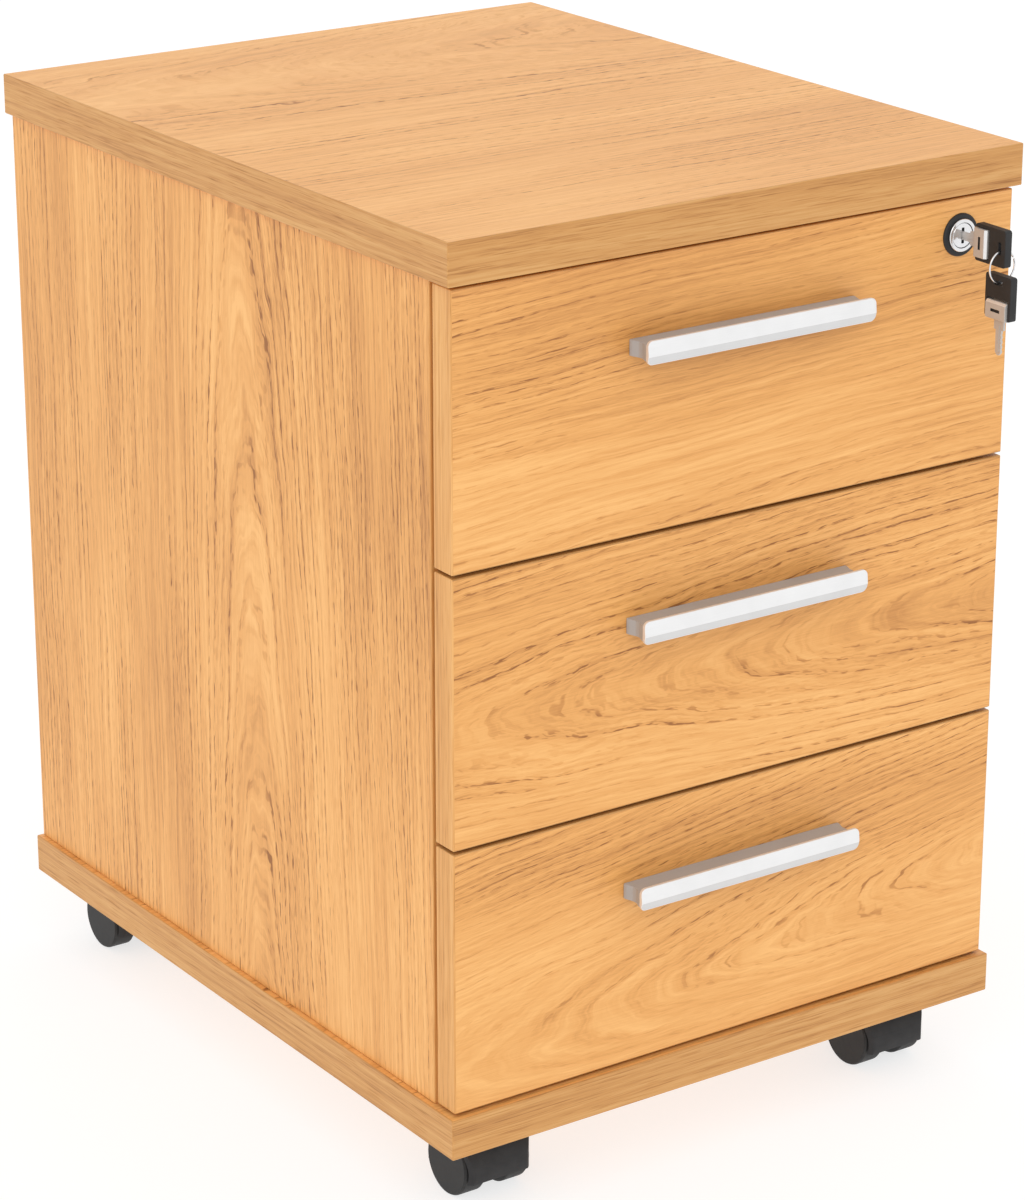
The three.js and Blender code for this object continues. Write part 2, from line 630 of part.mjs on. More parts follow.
// Revolved about X, from the closed outer face to the inner face with its blind bore.
function casterWheel(side) {
  const inner = WHEEL_GAP / 2;
  const outer = inner + WHEEL_WIDTH;
  const bore = AXLE_RADIUS + FIT;
  const boreEnd = AXLE_HALF + FIT;
  const wheel = lathe([
    [0, outer],
    [WHEEL_RADIUS - 2.5, outer],
    [WHEEL_RADIUS - 0.6, outer - 1.5],
    [WHEEL_RADIUS, outer - 3.5],
    [WHEEL_RADIUS, inner + 2],
    [WHEEL_RADIUS - 1.5, inner],
    [bore, inner],
    [bore, boreEnd],
    [0, boreEnd],
  ].reverse(), ROUND);
  wheel.rotateZ(-Math.PI / 2);
  if (side < 0) wheel.rotateY(Math.PI);
  return wheel;
}

function casters() {
  const group = new THREE.Group();
  const plate = casterPlate();
  const hood = casterHood();
  const axle = rodX(AXLE_RADIUS, -AXLE_HALF, AXLE_HALF, 0, 0);
  const wheels = { left: casterWheel(-1), right: casterWheel(1) };
  for (const [end, y] of [['front', CASTER_FRONT_Y], ['rear', CASTER_REAR_Y]]) {
    for (const [hand, x] of [['left', -CASTER_X], ['right', CASTER_X]]) {
      const name = `caster_${end}_${hand}`;
      const caster = placed(new THREE.Group(), x, y, 0);
      caster.add(piece(`${name}_plate`, 'zincSteel', plate), piece(`${name}_hood`, 'blackPlastic', hood));
      const running = placed(new THREE.Group(), 0, CASTER_TRAIL, WHEEL_RADIUS);
      running.add(piece(`${name}_axle`, 'zincSteel', axle));
      for (const [which, wheel] of Object.entries(wheels)) {
        running.add(piece(`${name}_wheel_${which}`, 'wheelPlastic', wheel));
      }
      caster.add(running);
      group.add(caster);
    }
  }
  return group;
}

// ---- The whole object ----

const cabinet = placed(new THREE.Group(), 0, -(OBJECT_FRONT + SLAB_REAR) / 2, 0);
cabinet.add(carcass(), runners(), drawers(), lock(), lockBarParts(), keys(), casters());

const group = new THREE.Group();
group.add(cabinet);

export default group;
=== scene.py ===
"""Looks of the rolling pedestal cabinet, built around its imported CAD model.

Metres, +Z up, drawers opening towards -Y. Helpers take millimetres where they say so.
"""

import math
import random

import bmesh
import bpy
from mathutils import Matrix, Vector


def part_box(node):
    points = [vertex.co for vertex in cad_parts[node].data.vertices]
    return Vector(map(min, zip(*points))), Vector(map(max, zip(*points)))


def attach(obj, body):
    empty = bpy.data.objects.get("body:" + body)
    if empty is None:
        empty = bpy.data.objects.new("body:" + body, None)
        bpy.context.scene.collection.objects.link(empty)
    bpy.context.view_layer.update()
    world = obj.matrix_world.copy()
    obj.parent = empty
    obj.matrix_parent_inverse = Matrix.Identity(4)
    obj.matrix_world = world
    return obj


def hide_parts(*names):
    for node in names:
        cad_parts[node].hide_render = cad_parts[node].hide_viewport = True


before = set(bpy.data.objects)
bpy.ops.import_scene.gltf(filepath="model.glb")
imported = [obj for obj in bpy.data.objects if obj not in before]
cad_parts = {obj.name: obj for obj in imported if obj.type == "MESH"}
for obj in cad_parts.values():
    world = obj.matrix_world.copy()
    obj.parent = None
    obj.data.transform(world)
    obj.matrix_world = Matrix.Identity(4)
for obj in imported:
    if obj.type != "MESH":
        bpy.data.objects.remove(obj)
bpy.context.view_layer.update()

MM = 0.001
AXES = "xyz"
SIDES = (("left", -1), ("right", 1))
DRAWERS = (1, 2, 3)
CASTERS = [f"caster_{end}_{hand}" for end in ("front", "rear") for hand in ("left", "right")]
scene = bpy.context.scene


# ---- Materials: a small builder, then one function for each material ----


class Nodes:
    """A material's node tree. Each call takes sockets or plain values and returns a socket."""

    def __init__(self, name):
        self.material = bpy.data.materials.new(name)
        self.material.use_nodes = True
        self.tree = self.material.node_tree
        self.shader = self.tree.nodes["Principled BSDF"]

    def node(self, kind, inputs=(), **settings):
        made = self.tree.nodes.new(kind)
        for key, value in settings.items():
            setattr(made, key, value)
        for place, value in dict(inputs).items():
            self.feed(made.inputs[place], value)
        return made

    def feed(self, socket, value):
        if isinstance(value, bpy.types.NodeSocket):
            self.tree.links.new(value, socket)
        else:
            socket.default_value = value

    def math(self, operation, a, b=0.0, c=0.0):
        return self.node("ShaderNodeMath", {0: a, 1: b, 2: c}, operation=operation).outputs[0]

    def add(self, a, b):
        return self.math("ADD", a, b)

    def times(self, a, b):
        return self.math("MULTIPLY", a, b)

    def position(self, sizes):
        """Object coordinates, counted in cells of these sizes (mm along x, y, z)."""
        place = self.node("ShaderNodeTexCoord").outputs["Object"]
        cells = [1 / (size * MM) for size in sizes]
        return self.node("ShaderNodeVectorMath", {0: place, 1: cells}, operation="MULTIPLY").outputs[0]

    def noise(self, vector, detail=2.0, roughness=0.5):
        inputs = {"Vector": vector, "Scale": 1.0, "Detail": detail, "Roughness": roughness}
        return self.node("ShaderNodeTexNoise", inputs).outputs[0]

    def line_noise(self, value, detail=1.0):
        inputs = {"W": value, "Scale": 1.0, "Detail": detail}
        return self.node("ShaderNodeTexNoise", inputs, noise_dimensions="1D").outputs[0]

    def step(self, value, low, high, to_low=0.0, to_high=1.0):
        """Goes smoothly from to_low at low to to_high at high."""
        inputs = {"Value": value, "From Min": low, "From Max": high, "To Min": to_low, "To Max": to_high}
        return self.node("ShaderNodeMapRange", inputs, interpolation_type="SMOOTHSTEP").outputs[0]

    def ramp(self, value, stops):
        made = self.node("ShaderNodeValToRGB", {"Fac": value})
        elements = made.color_ramp.elements
        while len(elements) < len(stops):
            elements.new(0.5)
        for element, (place, colour) in zip(elements, stops):
            element.position = place
            element.color = (*colour, 1)
        return made.outputs[0]

    def bump(self, height, depth_mm, strength=1.0):
        inputs = {"Height": height, "Distance": depth_mm * MM, "Strength": strength}
        self.feed(self.shader.inputs["Normal"], self.node("ShaderNodeBump", inputs).outputs[0])

    def set(self, **values):
        for key, value in values.items():
            self.feed(self.shader.inputs[key.replace("_", " ")], value)


WOOD_RAMP = [
    (0.0, (0.93, 0.500, 0.168)),
    (0.3, (0.81, 0.388, 0.108)),
    (0.6, (0.62, 0.272, 0.068)),
    (0.85, (0.44, 0.174, 0.039)),
    (1.0, (0.33, 0.122, 0.025)),
]


def shade(colour, factor):
    return tuple(part * factor for part in colour)


def foil(n, dark, fibre, dash, tone):
    """Printed foil: dark runs from 0, the palest timber, to 1."""
    n.set(Base_Color=n.ramp(dark, [(place, shade(colour, tone)) for place, colour in WOOD_RAMP]))
    n.set(Roughness=n.add(n.times(fibre, 0.16), n.add(n.times(dash, 0.12), 0.38)))
    n.shader.inputs["Specular IOR Level"].default_value = 0.5
    n.bump(n.add(n.times(fibre, 0.5), n.times(dash, -0.8)), 0.05)
    return n.material


def grain_cells(n, grain, length, width):
    sizes = [width] * 3
    sizes[AXES.index(grain)] = length
    return n.position(sizes)


def wood(name, grain, face, origin, log, slope, ring=3.8, contrast=1.0, darkness=0.22, upper=0.0, seed=0.0):
    """Plain-sawn timber: the rings of a log whose axis passes log mm from the origin, across the face and
    behind it, and leans by slope for each mm along the grain. ring is their spacing in mm, darkness the tone
    they start from, and upper gathers the dark ones towards the face's far side."""
    n = Nodes(name)
    along, behind = AXES.index(grain), AXES.index(face)
    offset = {0: n.position([1, 1, 1]), 1: [o / MM for o in origin]}
    place = n.node("ShaderNodeVectorMath", offset, operation="SUBTRACT").outputs[0]
    parts = n.node("ShaderNodeSeparateXYZ", {0: place}).outputs
    u, v, w = parts[along], parts[3 - along - behind], parts[behind]
    wave = n.times(n.add(n.noise(grain_cells(n, grain, 150, 36), 2.0), -0.5), 11.0)
    ripple = n.times(n.add(n.noise(grain_cells(n, grain, 18, 8), 2.0), -0.5), 1.5)
    dv = n.math("SUBTRACT", n.add(v, -log[0]), n.times(u, slope[0]))
    dw = n.math("SUBTRACT", n.add(w, -log[1]), n.times(u, slope[1]))
    radius = n.math("SQRT", n.add(n.times(dv, dv), n.times(dw, dw)))
    radius = n.add(radius, n.add(wave, ripple))

    def figure(length, width, detail, roughness=0.5):
        cell = {0: n.times(u, 1 / length), 1: n.times(radius, 1 / width), 2: seed}
        return n.noise(n.node("ShaderNodeCombineXYZ", cell).outputs[0], detail, roughness)

    phase = n.add(n.times(radius, 1 / ring), n.times(n.line_noise(n.times(radius, 1 / 30)), 3.0))
    part = n.math("FRACT", phase)
    late = n.times(n.step(part, 0.50, 0.90), n.step(part, 0.90, 1.0, 1.0, 0.0))
    ring_strength = n.line_noise(n.times(n.math("FLOOR", phase), 0.73), 0.0)
    late = n.times(late, n.step(ring_strength, 0.35, 0.65, 0.2, 1.0))
    zone = n.step(n.noise(grain_cells(n, grain, 240, 42), 1.0), 0.38, 0.62, 0.3, 1.0)
    if upper:
        zone = n.times(zone, n.step(v, -50, 60, 1 - upper, 1.0))
    flank = n.step(n.math("DIVIDE", n.math("ABSOLUTE", dv), radius), 0.0, 0.2, 0.45, 1.0)
    late = n.times(late, n.times(zone, flank))
    fibre = figure(26, 0.8, 3.0, 0.6)
    streak = figure(170, 2.6, 3.0, 0.6)
    dash = n.times(n.step(figure(9, 0.62, 1.0), 0.50, 0.62), n.add(late, n.times(zone, 0.22)))
    hair = n.noise(grain_cells(n, grain, 30, 0.6), 2.0, 0.6)
    cloud = n.noise(grain_cells(n, grain, 300, 60), 2.0)
    dark = n.times(n.add(n.times(late, 0.24), n.times(dash, 0.66)), contrast)
    dark = n.add(dark, n.step(v, -70, 80, -0.06 * upper, 0.16 * upper))
    for value, share in ((fibre, 0.45), (streak, 0.80), (hair, 0.35), (cloud, 0.70)):
        dark = n.add(dark, n.times(n.add(value, -0.5), share * contrast))
    return foil(n, n.add(dark, darkness), hair, dash, 1.0)


def edge_wood(name, grain, tone):
    """Edge band: straight, close grain with short dashes."""
    n = Nodes(name)
    fibre = n.noise(grain_cells(n, grain, 26, 0.7), 3.0, 0.6)
    streak = n.noise(grain_cells(n, grain, 240, 2.6), 3.0, 0.6)
    dash = n.step(n.noise(grain_cells(n, grain, 26, 0.8), 1.0), 0.56, 0.70)
    dark = n.add(n.times(n.add(fibre, -0.5), 0.7), n.times(n.add(streak, -0.5), 1.3))
    return foil(n, n.add(n.add(dark, n.times(dash, 0.24)), 0.24), fibre, dash, tone)


def chipboard():
    n = Nodes("raw_chipboard")
    chips = n.noise(n.position([3, 1.6, 1.2]), 3.0, 0.7)
    stops = [(0.3, (0.22, 0.13, 0.06)), (0.5, (0.50, 0.34, 0.18)), (0.7, (0.66, 0.48, 0.28))]
    n.set(Base_Color=n.ramp(chips, stops))
    n.shader.inputs["Roughness"].default_value = 0.9
    n.bump(chips, 0.4)
    return n.material


def painted(name, colour, roughness, peel=0.03, mottle=0.05):
    """Powder coat or matt foil: an even colour with faint clouds and a fine orange peel."""
    n = Nodes(name)
    cloud = n.noise(n.position([60, 60, 60]), 3.0)
    grit = n.noise(n.position([0.9, 0.9, 0.9]), 2.0)
    mixed = n.add(n.times(cloud, 0.7), n.times(grit, 0.3))
    n.set(Base_Color=n.ramp(mixed, [(0.3, shade(colour, 1 - mottle)), (0.7, shade(colour, 1 + mottle))]))
    n.set(Roughness=n.add(n.times(cloud, 0.12), roughness - 0.06))
    n.bump(grit, peel)
    return n.material


def metal(name, colour, roughness, brushed=None, spangle=0.0, spread=0.08, metallic=1.0):
    """Plated metal: brushed along an axis, spangled as zinc is, or polished with faint wipe marks."""
    n = Nodes(name)
    sizes = [0.5, 0.5, 0.5]
    if brushed:
        sizes = [0.12, 0.12, 0.12]
        sizes[AXES.index(brushed)] = 14
    lines = n.noise(n.position(sizes), 3.0, 0.6)
    smear = n.noise(n.position([18, 18, 18]), 3.0)
    tint = n.add(n.times(lines, 0.5), n.times(smear, 0.5))
    if spangle:
        inputs = {"Vector": n.position([2.6, 2.6, 2.6]), "Scale": 1.0}
        cell = n.node("ShaderNodeTexVoronoi", inputs).outputs["Color"]
        tint = n.add(n.times(tint, 0.4), n.times(cell, spangle))
    n.set(Base_Color=n.ramp(tint, [(0.25, shade(colour, 0.93)), (0.75, shade(colour, 1.05))]))
    marks = n.add(n.times(smear, 0.6), n.times(lines, 0.4))
    n.set(Roughness=n.add(n.times(marks, spread * 2), roughness - spread))
    n.shader.inputs["Metallic"].default_value = metallic
    n.bump(lines, 0.004 if brushed else 0.002)
    return n.material


def moulded(name, colour, roughness, grain=0.35, depth=0.02, specular=0.3):
    """Moulded plastic with a fine sparked texture and faint handling marks."""
    n = Nodes(name)
    texture = n.noise(n.position([grain] * 3), 2.0, 0.6)
    marks = n.noise(n.position([9, 9, 9]), 4.0, 0.65)
    n.set(Base_Color=n.ramp(marks, [(0.3, shade(colour, 0.85)), (0.75, shade(colour, 1.3))]))
    n.set(Roughness=n.add(n.times(marks, 0.16), roughness - 0.08))
    n.shader.inputs["Specular IOR Level"].default_value = specular
    n.bump(texture, depth)
    return n.material


def wheel_plastic():
    """Dark nylon wheel, turned about its own X axis, with lighter, rougher patches around its tread."""
    n = Nodes("wheel_nylon")
    place = n.node("ShaderNodeTexCoord").outputs["Object"]
    parts = n.node("ShaderNodeSeparateXYZ", {0: place}).outputs
    radius = n.math("SQRT", n.add(n.times(parts[1], parts[1]), n.times(parts[2], parts[2])))
    marks = n.noise(n.position([5, 5, 5]), 4.0, 0.7)
    # Lighter, rougher patches around the tread.
    lighter_tread_patches = n.times(n.step(radius, 0.0186, 0.0197), n.step(marks, 0.42, 0.66))
    tint = n.add(n.times(lighter_tread_patches, 0.6), n.times(marks, 0.4))
    colour = n.ramp(tint, [(0.1, (0.016,) * 3), (0.8, (0.040,) * 3)])
    n.set(Base_Color=colour, Roughness=n.add(n.times(lighter_tread_patches, 0.25), 0.5))
    n.shader.inputs["Specular IOR Level"].default_value = 0.3
    n.bump(n.noise(n.position([0.4, 0.4, 0.4]), 2.0), 0.02)
    return n.material


# ---- Mesh helpers. Points are in metres, as is every bmesh here ----


def block(low, high):
    bm = bmesh.new()
    middle = [(a + b) / 2 for a, b in zip(low, high)]
    size = [b - a for a, b in zip(low, high)]
    bmesh.ops.create_cube(bm, size=1, matrix=Matrix.Translation(middle) @ Matrix.Diagonal((*size, 1)))
    return bm


def ease(bm, width, segments=2, angle=25, edges=None):
    """Rounds the sharp edges by width metres."""
    if edges is None:
        edges = [e for e in bm.edges if e.is_manifold and e.calc_face_angle(0) > math.radians(angle)]
    shape = {"offset": width, "segments": segments, "profile": 0.5}
    bmesh.ops.bevel(bm, geom=edges, affect="EDGES", clamp_overlap=True, **shape)
    return bm


def rounded(points, steps=4):
    """A closed outline with its corners rounded. Each point is (x, y, radius)."""
    made = []
    count = len(points)
    for i, (x, y, radius) in enumerate(points):
        here = Vector((x, y))
        back = Vector(points[i - 1][:2]) - here
        ahead = Vector(points[(i + 1) % count][:2]) - here
        turn = back.angle(ahead)
        if radius <= 0 or turn > math.pi - 0.01:
            made.append(here)
            continue
        reach = min(radius / math.tan(turn / 2), 0.49 * back.length, 0.49 * ahead.length)
        true_radius = reach * math.tan(turn / 2)
        middle = (back.normalized() + ahead.normalized()).normalized()
        centre = here + middle * (true_radius / math.sin(turn / 2))
        start = here + back.normalized() * reach - centre
        end = here + ahead.normalized() * reach - centre
        sweep = start.angle_signed(end)
        for k in range(steps + 1):
            made.append(centre + Matrix.Rotation(-sweep * k / steps, 2) @ start)
    return made


def arc(centre, radius, start, end, steps):
    """Points on an arc, with its angles in degrees."""
    angles = [math.radians(start + (end - start) * k / steps) for k in range(steps + 1)]
    return [Vector((centre[0] + radius * math.cos(a), centre[1] + radius * math.sin(a))) for a in angles]


def oriented(axis, u, v, along):
    return {"x": (along, u, v), "y": (u, along, v), "z": (u, v, along)}[axis]


def prism(outline, axis, low, high):
    """An outline in (y, z), (x, z) or (x, y), drawn out along x, y or z."""
    bm = bmesh.new()
    ends = [[bm.verts.new(oriented(axis, p[0], p[1], along)) for p in outline] for along in (low, high)]
    for ring in ends:
        bm.faces.new(ring)
    for i in range(len(outline)):
        bm.faces.new((ends[0][i - 1], ends[0][i], ends[1][i], ends[1][i - 1]))
    bmesh.ops.recalc_face_normals(bm, faces=bm.faces)
    return bm


def lathe(profile, axis="z", segments=64, closed=False):
    """Turns (radius, height) points about an axis. Radius 0 closes an end, and closed joins the last point to
    the first."""
    bm = bmesh.new()
    rings = []
    for radius, height in profile:
        if radius < 1e-9:
            rings.append([bm.verts.new(oriented(axis, 0, 0, height))] * segments)
            continue
        angles = [2 * math.pi * k / segments for k in range(segments)]
        points = [(radius * math.cos(a), radius * math.sin(a)) for a in angles]
        rings.append([bm.verts.new(oriented(axis, *p, height)) for p in points])
    pairs = list(zip(rings, rings[1:])) + ([(rings[-1], rings[0])] if closed else [])
    for one, two in pairs:
        for k in range(segments):
            corners = (one[k - 1], one[k], two[k], two[k - 1])
            distinct = list(dict.fromkeys(corners))
            if len(distinct) > 2:
                bm.faces.new(distinct)
    bmesh.ops.recalc_face_normals(bm, faces=bm.faces)
    return bm


def tube(path, radius, segments=12):
    """A round wire along the path, with domed ends."""
    bm = bmesh.new()
    rings = []
    count = len(path)
    for i, point in enumerate(path):
        direction = (path[min(i + 1, count - 1)] - path[max(i - 1, 0)]).normalized()
        side = direction.cross(Vector((0, 1, 0))).normalized()
        up = side.cross(direction)
        scale = 0.55 if i in (0, count - 1) else 1.0
        angles = [2 * math.pi * k / segments for k in range(segments)]
        spokes = [side * math.cos(a) + up * math.sin(a) for a in angles]
        rings.append([bm.verts.new(point + spoke * radius * scale) for spoke in spokes])
    for one, two in zip(rings, rings[1:]):
        for k in range(segments):
            bm.faces.new((one[k - 1], one[k], two[k], two[k - 1]))
    bm.faces.new(rings[0])
    bm.faces.new(rings[-1])
    bmesh.ops.recalc_face_normals(bm, faces=bm.faces)
    return bm


def moved(bm, offset=(0, 0, 0), turn=None):
    matrix = Matrix.Translation(offset)
    if turn is not None:
        matrix = matrix @ turn
    bmesh.ops.transform(bm, matrix=matrix, verts=bm.verts)
    if matrix.determinant() < 0:
        bmesh.ops.reverse_faces(bm, faces=bm.faces)
    return bm


def gathered(*meshes):
    """Several solids in one mesh. The ones given are used up."""
    result = bmesh.new()
    for bm in meshes:
        passing = bpy.data.meshes.new("passing")
        bm.to_mesh(passing)
        bm.free()
        result.from_mesh(passing)
        bpy.data.meshes.remove(passing)
    return result


def combined(base, tools, operation="DIFFERENCE"):
    """Cuts the tools from the base, or joins them to it. All of them are used up."""
    objects = []
    for bm in [base, *tools]:
        mesh = bpy.data.meshes.new("passing")
        bm.to_mesh(mesh)
        bm.free()
        obj = bpy.data.objects.new("passing", mesh)
        scene.collection.objects.link(obj)
        objects.append(obj)
    for tool in objects[1:]:
        modifier = objects[0].modifiers.new("combine", "BOOLEAN")
        modifier.operation = operation
        modifier.solver = "EXACT"
        modifier.object = tool
    bpy.context.view_layer.update()
    evaluated = objects[0].evaluated_get(bpy.context.evaluated_depsgraph_get())
    result = bmesh.new()
    result.from_mesh(evaluated.to_mesh())
    evaluated.to_mesh_clear()
    for obj in objects:
        mesh = obj.data
        bpy.data.objects.remove(obj)
        bpy.data.meshes.remove(mesh)
    bmesh.ops.remove_doubles(result, verts=result.verts, dist=1e-7)
    bmesh.ops.dissolve_limit(result, angle_limit=math.radians(0.5), verts=result.verts, edges=result.edges)
    return result


def from_node(node):
    """A CAD node's shape with whole flat faces, ready for its edges to be eased."""
    bm = bmesh.new()
    bm.from_mesh(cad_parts[node].data)
    bmesh.ops.remove_doubles(bm, verts=bm.verts, dist=1e-6)
    bmesh.ops.dissolve_limit(bm, angle_limit=math.radians(0.5), verts=bm.verts, edges=bm.edges)
    return bm


def finished(bm, angle=32):
    mesh = bpy.data.meshes.new("shape")
    bmesh.ops.recalc_face_normals(bm, faces=bm.faces)
    bm.to_mesh(mesh)
    bm.free()
    mesh.shade_smooth()
    mesh.set_sharp_from_angle(angle=math.radians(angle))
    return mesh


def piece(name, mesh, materials, body, replaces=(), at=(0, 0, 0), turn=(0, 0, 0)):
    """Puts a finished mesh in the scene as one named piece on a CAD body."""
    mesh = mesh if mesh.users == 0 else mesh.copy()
    mesh.name = name
    if len(mesh.materials) == 0:
        for material in materials:
            mesh.materials.append(material)
    obj = bpy.data.objects.new(name, mesh)
    obj.location = at
    obj.rotation_euler = turn
    scene.collection.objects.link(obj)
    smooth = obj.modifiers.new("even_normals", "WEIGHTED_NORMAL")
    smooth.keep_sharp = True
    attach(obj, body)
    if replaces:
        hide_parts(*replaces)
    return obj


def centre(node):
    low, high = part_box(node)
    return (low + high) / 2


# ---- Boards ----

EDGE_ROUND = 0.8 * MM
LOCK_BORE_RADIUS = 9.5


def mm(*values):
    return tuple(value * MM for value in values)


def outline_mm(points, steps=4):
    """A rounded outline from (x, y, radius) points in millimetres."""
    return rounded([mm(*point) for point in points], steps)


def profile_mm(points):
    return [mm(*point) for point in points]


def rod_mm(radius, low, high):
    """The profile of a plain solid rod, for lathe."""
    return profile_mm([(0, low), (radius, low), (radius, high), (0, high)])


def rectangle(u, v, radius, steps=6):
    """A rounded rectangle about the origin, by its half sizes in mm."""
    return outline_mm([(u, v, radius), (-u, v, radius), (-u, -v, radius), (u, -v, radius)], steps)


def box_mm(low, high):
    return block(mm(*low), mm(*high))


def board_mesh(node, thickness, bore=None):
    """Material 0 is the foil on both flat sides. 1 to 3 are edge bands with their grain along x, y and z."""
    low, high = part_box(node)
    bm = ease(block(low, high), EDGE_ROUND, 3)
    if bore:
        bm = combined(bm, [bore])
    flat = AXES.index(thickness)
    for face in bm.faces:
        sizes = [abs(part) for part in face.normal]
        if sizes[flat] > 0.999:
            face.material_index = 0
            continue
        others = [i for i in range(3) if i != flat]
        face.material_index = 1 + min(others, key=lambda i: sizes[i])
    return finished(bm)


def boards(bands, raw):
    slab_bands, panel_bands, front_bands = bands

    def laminate(node, body, thickness, edges, bore=None, **figure):
        material = wood(f"laminate_{node}", face=thickness, origin=centre(node), **figure)
        mesh = board_mesh(node, thickness, bore)
        piece(node + "_board", mesh, [material, *edges], body, [node])

    slab = {"body": "cabinet", "thickness": "z", "edges": slab_bands, "grain": "x"}
    laminate("top_panel", **slab, log=(150, -190), slope=(0.04, 0.05), contrast=0.85, seed=3.1)
    laminate("base_panel", **slab, log=(-90, 120), slope=(-0.04, 0.05), seed=9.4)
    upright = {"body": "cabinet", "edges": panel_bands, "grain": "z"}
    # darkness 0.27, above the 0.22 of the other boards, darkens this side panel's foil as painted shade.
    left = {"ring": 4.2, "contrast": 1.2, "darkness": 0.27, "seed": 5.2}
    laminate("side_panel_left", **upright, thickness="x", log=(-42, 34), slope=(0.02, 0.07), **left)
    laminate("side_panel_right", **upright, thickness="x", log=(-30, -40), slope=(0.03, -0.06), seed=1.7)
    laminate("back_panel", **upright, thickness="y", log=(30, -60), slope=(0.02, 0.05), seed=7.7)
    bore = moved(lathe(rod_mm(LOCK_BORE_RADIUS, -30, 30), "y", 48), centre("lock_rosette"))
    figures = {
        1: {"log": (-120, 40), "slope": (0.03, -0.05), "upper": 0.6, "seed": 2.3, "bore": bore},
        2: {"log": (-8, 36), "slope": (0.02, -0.08), "upper": 0.25, "darkness": 0.25, "seed": 6.6},
        3: {"log": (-34, 34), "slope": (0.10, -0.09), "upper": 0.45, "seed": 4.9},
    }
    for k, figure in figures.items():
        laminate(f"drawer_front_{k}", f"drawer_{k}", "y", front_bands, grain="x", **figure)
    white = painted("off_white_foil", (0.74, 0.73, 0.70), 0.55)
    for k in DRAWERS:
        for part, thickness in (("back", "y"), ("bottom", "z")):
            node = f"drawer_{part}_{k}"
            edges = [white] * 3 if part == "back" else [raw] * 3
            mesh = board_mesh(node, thickness)
            piece(node + "_board", mesh, [white, *edges], f"drawer_{k}", [node])


# ---- Handles: a creased plate on a hollow, waisted foot with two screw bosses ----

HANDLE_PLATE = 3
HANDLE_CREASE = -1.5
HANDLE_SLOPES = (0.8, 1.4)
HANDLE_SCREW_X = 64


def handle_plate(half_width, half_height, reach):
    """A plate with two facets that meet at a crease a little below its middle."""
    back = HANDLE_PLATE - reach
    over = half_height + 0.5
    falls = [drop * (over - sign * HANDLE_CREASE) / (half_height - sign * HANDLE_CREASE)
             for drop, sign in zip(HANDLE_SLOPES, (1, -1))]
    section = [(back, over, 0), (falls[0] - reach, over, 0), (-reach, HANDLE_CREASE, 2.5),
               (falls[1] - reach, -over, 0), (back, -over, 0)]
    bar = prism(outline_mm(section, 3), "x", -(half_width + 1) * MM, (half_width + 1) * MM)
    face = prism(rectangle(half_width, half_height, 3.5, 8), "y", -(reach + 1) * MM, (back + 1) * MM)
    return ease(combined(bar, [face], "INTERSECT"), 0.45 * MM, 3, 40)


def handle_foot(half_width, half_height, reach):
    """The skin over the finger space with an end wall at each side, waisted in plan and arched below."""
    back = HANDLE_PLATE - reach - 0.5
    top = half_height - 3
    outer = half_width - 1.0
    waist = half_width - 3.0
    side = [(outer, 0), (outer - 0.4, -2.5), (waist, -7), (waist, -10), (outer - 0.4, -14.5), (outer, back)]
    plan = [(x, y, 4.0 if 0 < i < 5 else 0.6) for i, (x, y) in enumerate(side)]
    plan += [(-x, y, radius) for x, y, radius in reversed(plan)]
    foot = prism(outline_mm(plan, 5), "z", -(half_height - 1.6) * MM, top * MM)
    ease(foot, 0.4 * MM, 2, 50)
    inner = waist - 1.8
    hollow = box_mm((-inner, back - 0.01, -half_height - 1), (inner, 1, top - 2))
    arch_radius = 9.5
    arch_centre = (-9.0 * MM, -(half_height + 7.6) * MM)
    arch = prism(arc(arch_centre, arch_radius * MM, 0, 360, 48)[:-1], "x", -0.1, 0.1)
    return combined(foot, [ease(hollow, 0.8 * MM, 3), arch])


def painted_faces(bm, index, chosen=lambda face: True):
    for face in bm.faces:
        if chosen(face):
            face.material_index = index
    return bm


def handle_mesh(half_width, half_height, reach, boss_x):
    """Material 0 is the plate, 1 the foot and bosses in a darker grey that paints the shade under the plate, and 2
    the plate's lower facet in a darker copy of the plate's metal that paints its shade.
    """
    plate = handle_plate(half_width, half_height, reach)
    # The lower facet takes a darker copy of the plate's metal: painted shade.
    painted_faces(plate, 2, lambda face: face.normal.y < -0.9 and face.normal.z < -0.2)
    back = HANDLE_PLATE - reach - 0.5
    boss_profile = profile_mm([(0, back), (4.4, back), (4.4, -0.3), (4.1, 0), (0, 0)])
    boss_z = (half_height - 3 - 4.5) * MM
    bosses = [moved(lathe(boss_profile, "y", 40), (side * boss_x * MM, 0, boss_z)) for side in (-1, 1)]
    foot = handle_foot(half_width, half_height, reach)
    # Material 1, on the foot and bosses, is a darker grey than the plate's metal: painted shade under the plate.
    return finished(gathered(plate, *[painted_faces(part, 1) for part in (foot, *bosses)]))


def handles(materials):
    low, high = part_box("handle_1")
    half_width = (high.x - low.x) / 2 / MM
    half_height = (high.z - low.z) / 2 / MM
    mesh = handle_mesh(half_width, half_height, (high.y - low.y) / MM, HANDLE_SCREW_X)
    for k in DRAWERS:
        low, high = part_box(f"handle_{k}")
        place = ((low.x + high.x) / 2, high.y, (low.z + high.z) / 2)
        piece(f"bar_handle_{k}", mesh, materials, f"drawer_{k}", [f"handle_{k}"], place)


# ---- Screws ----


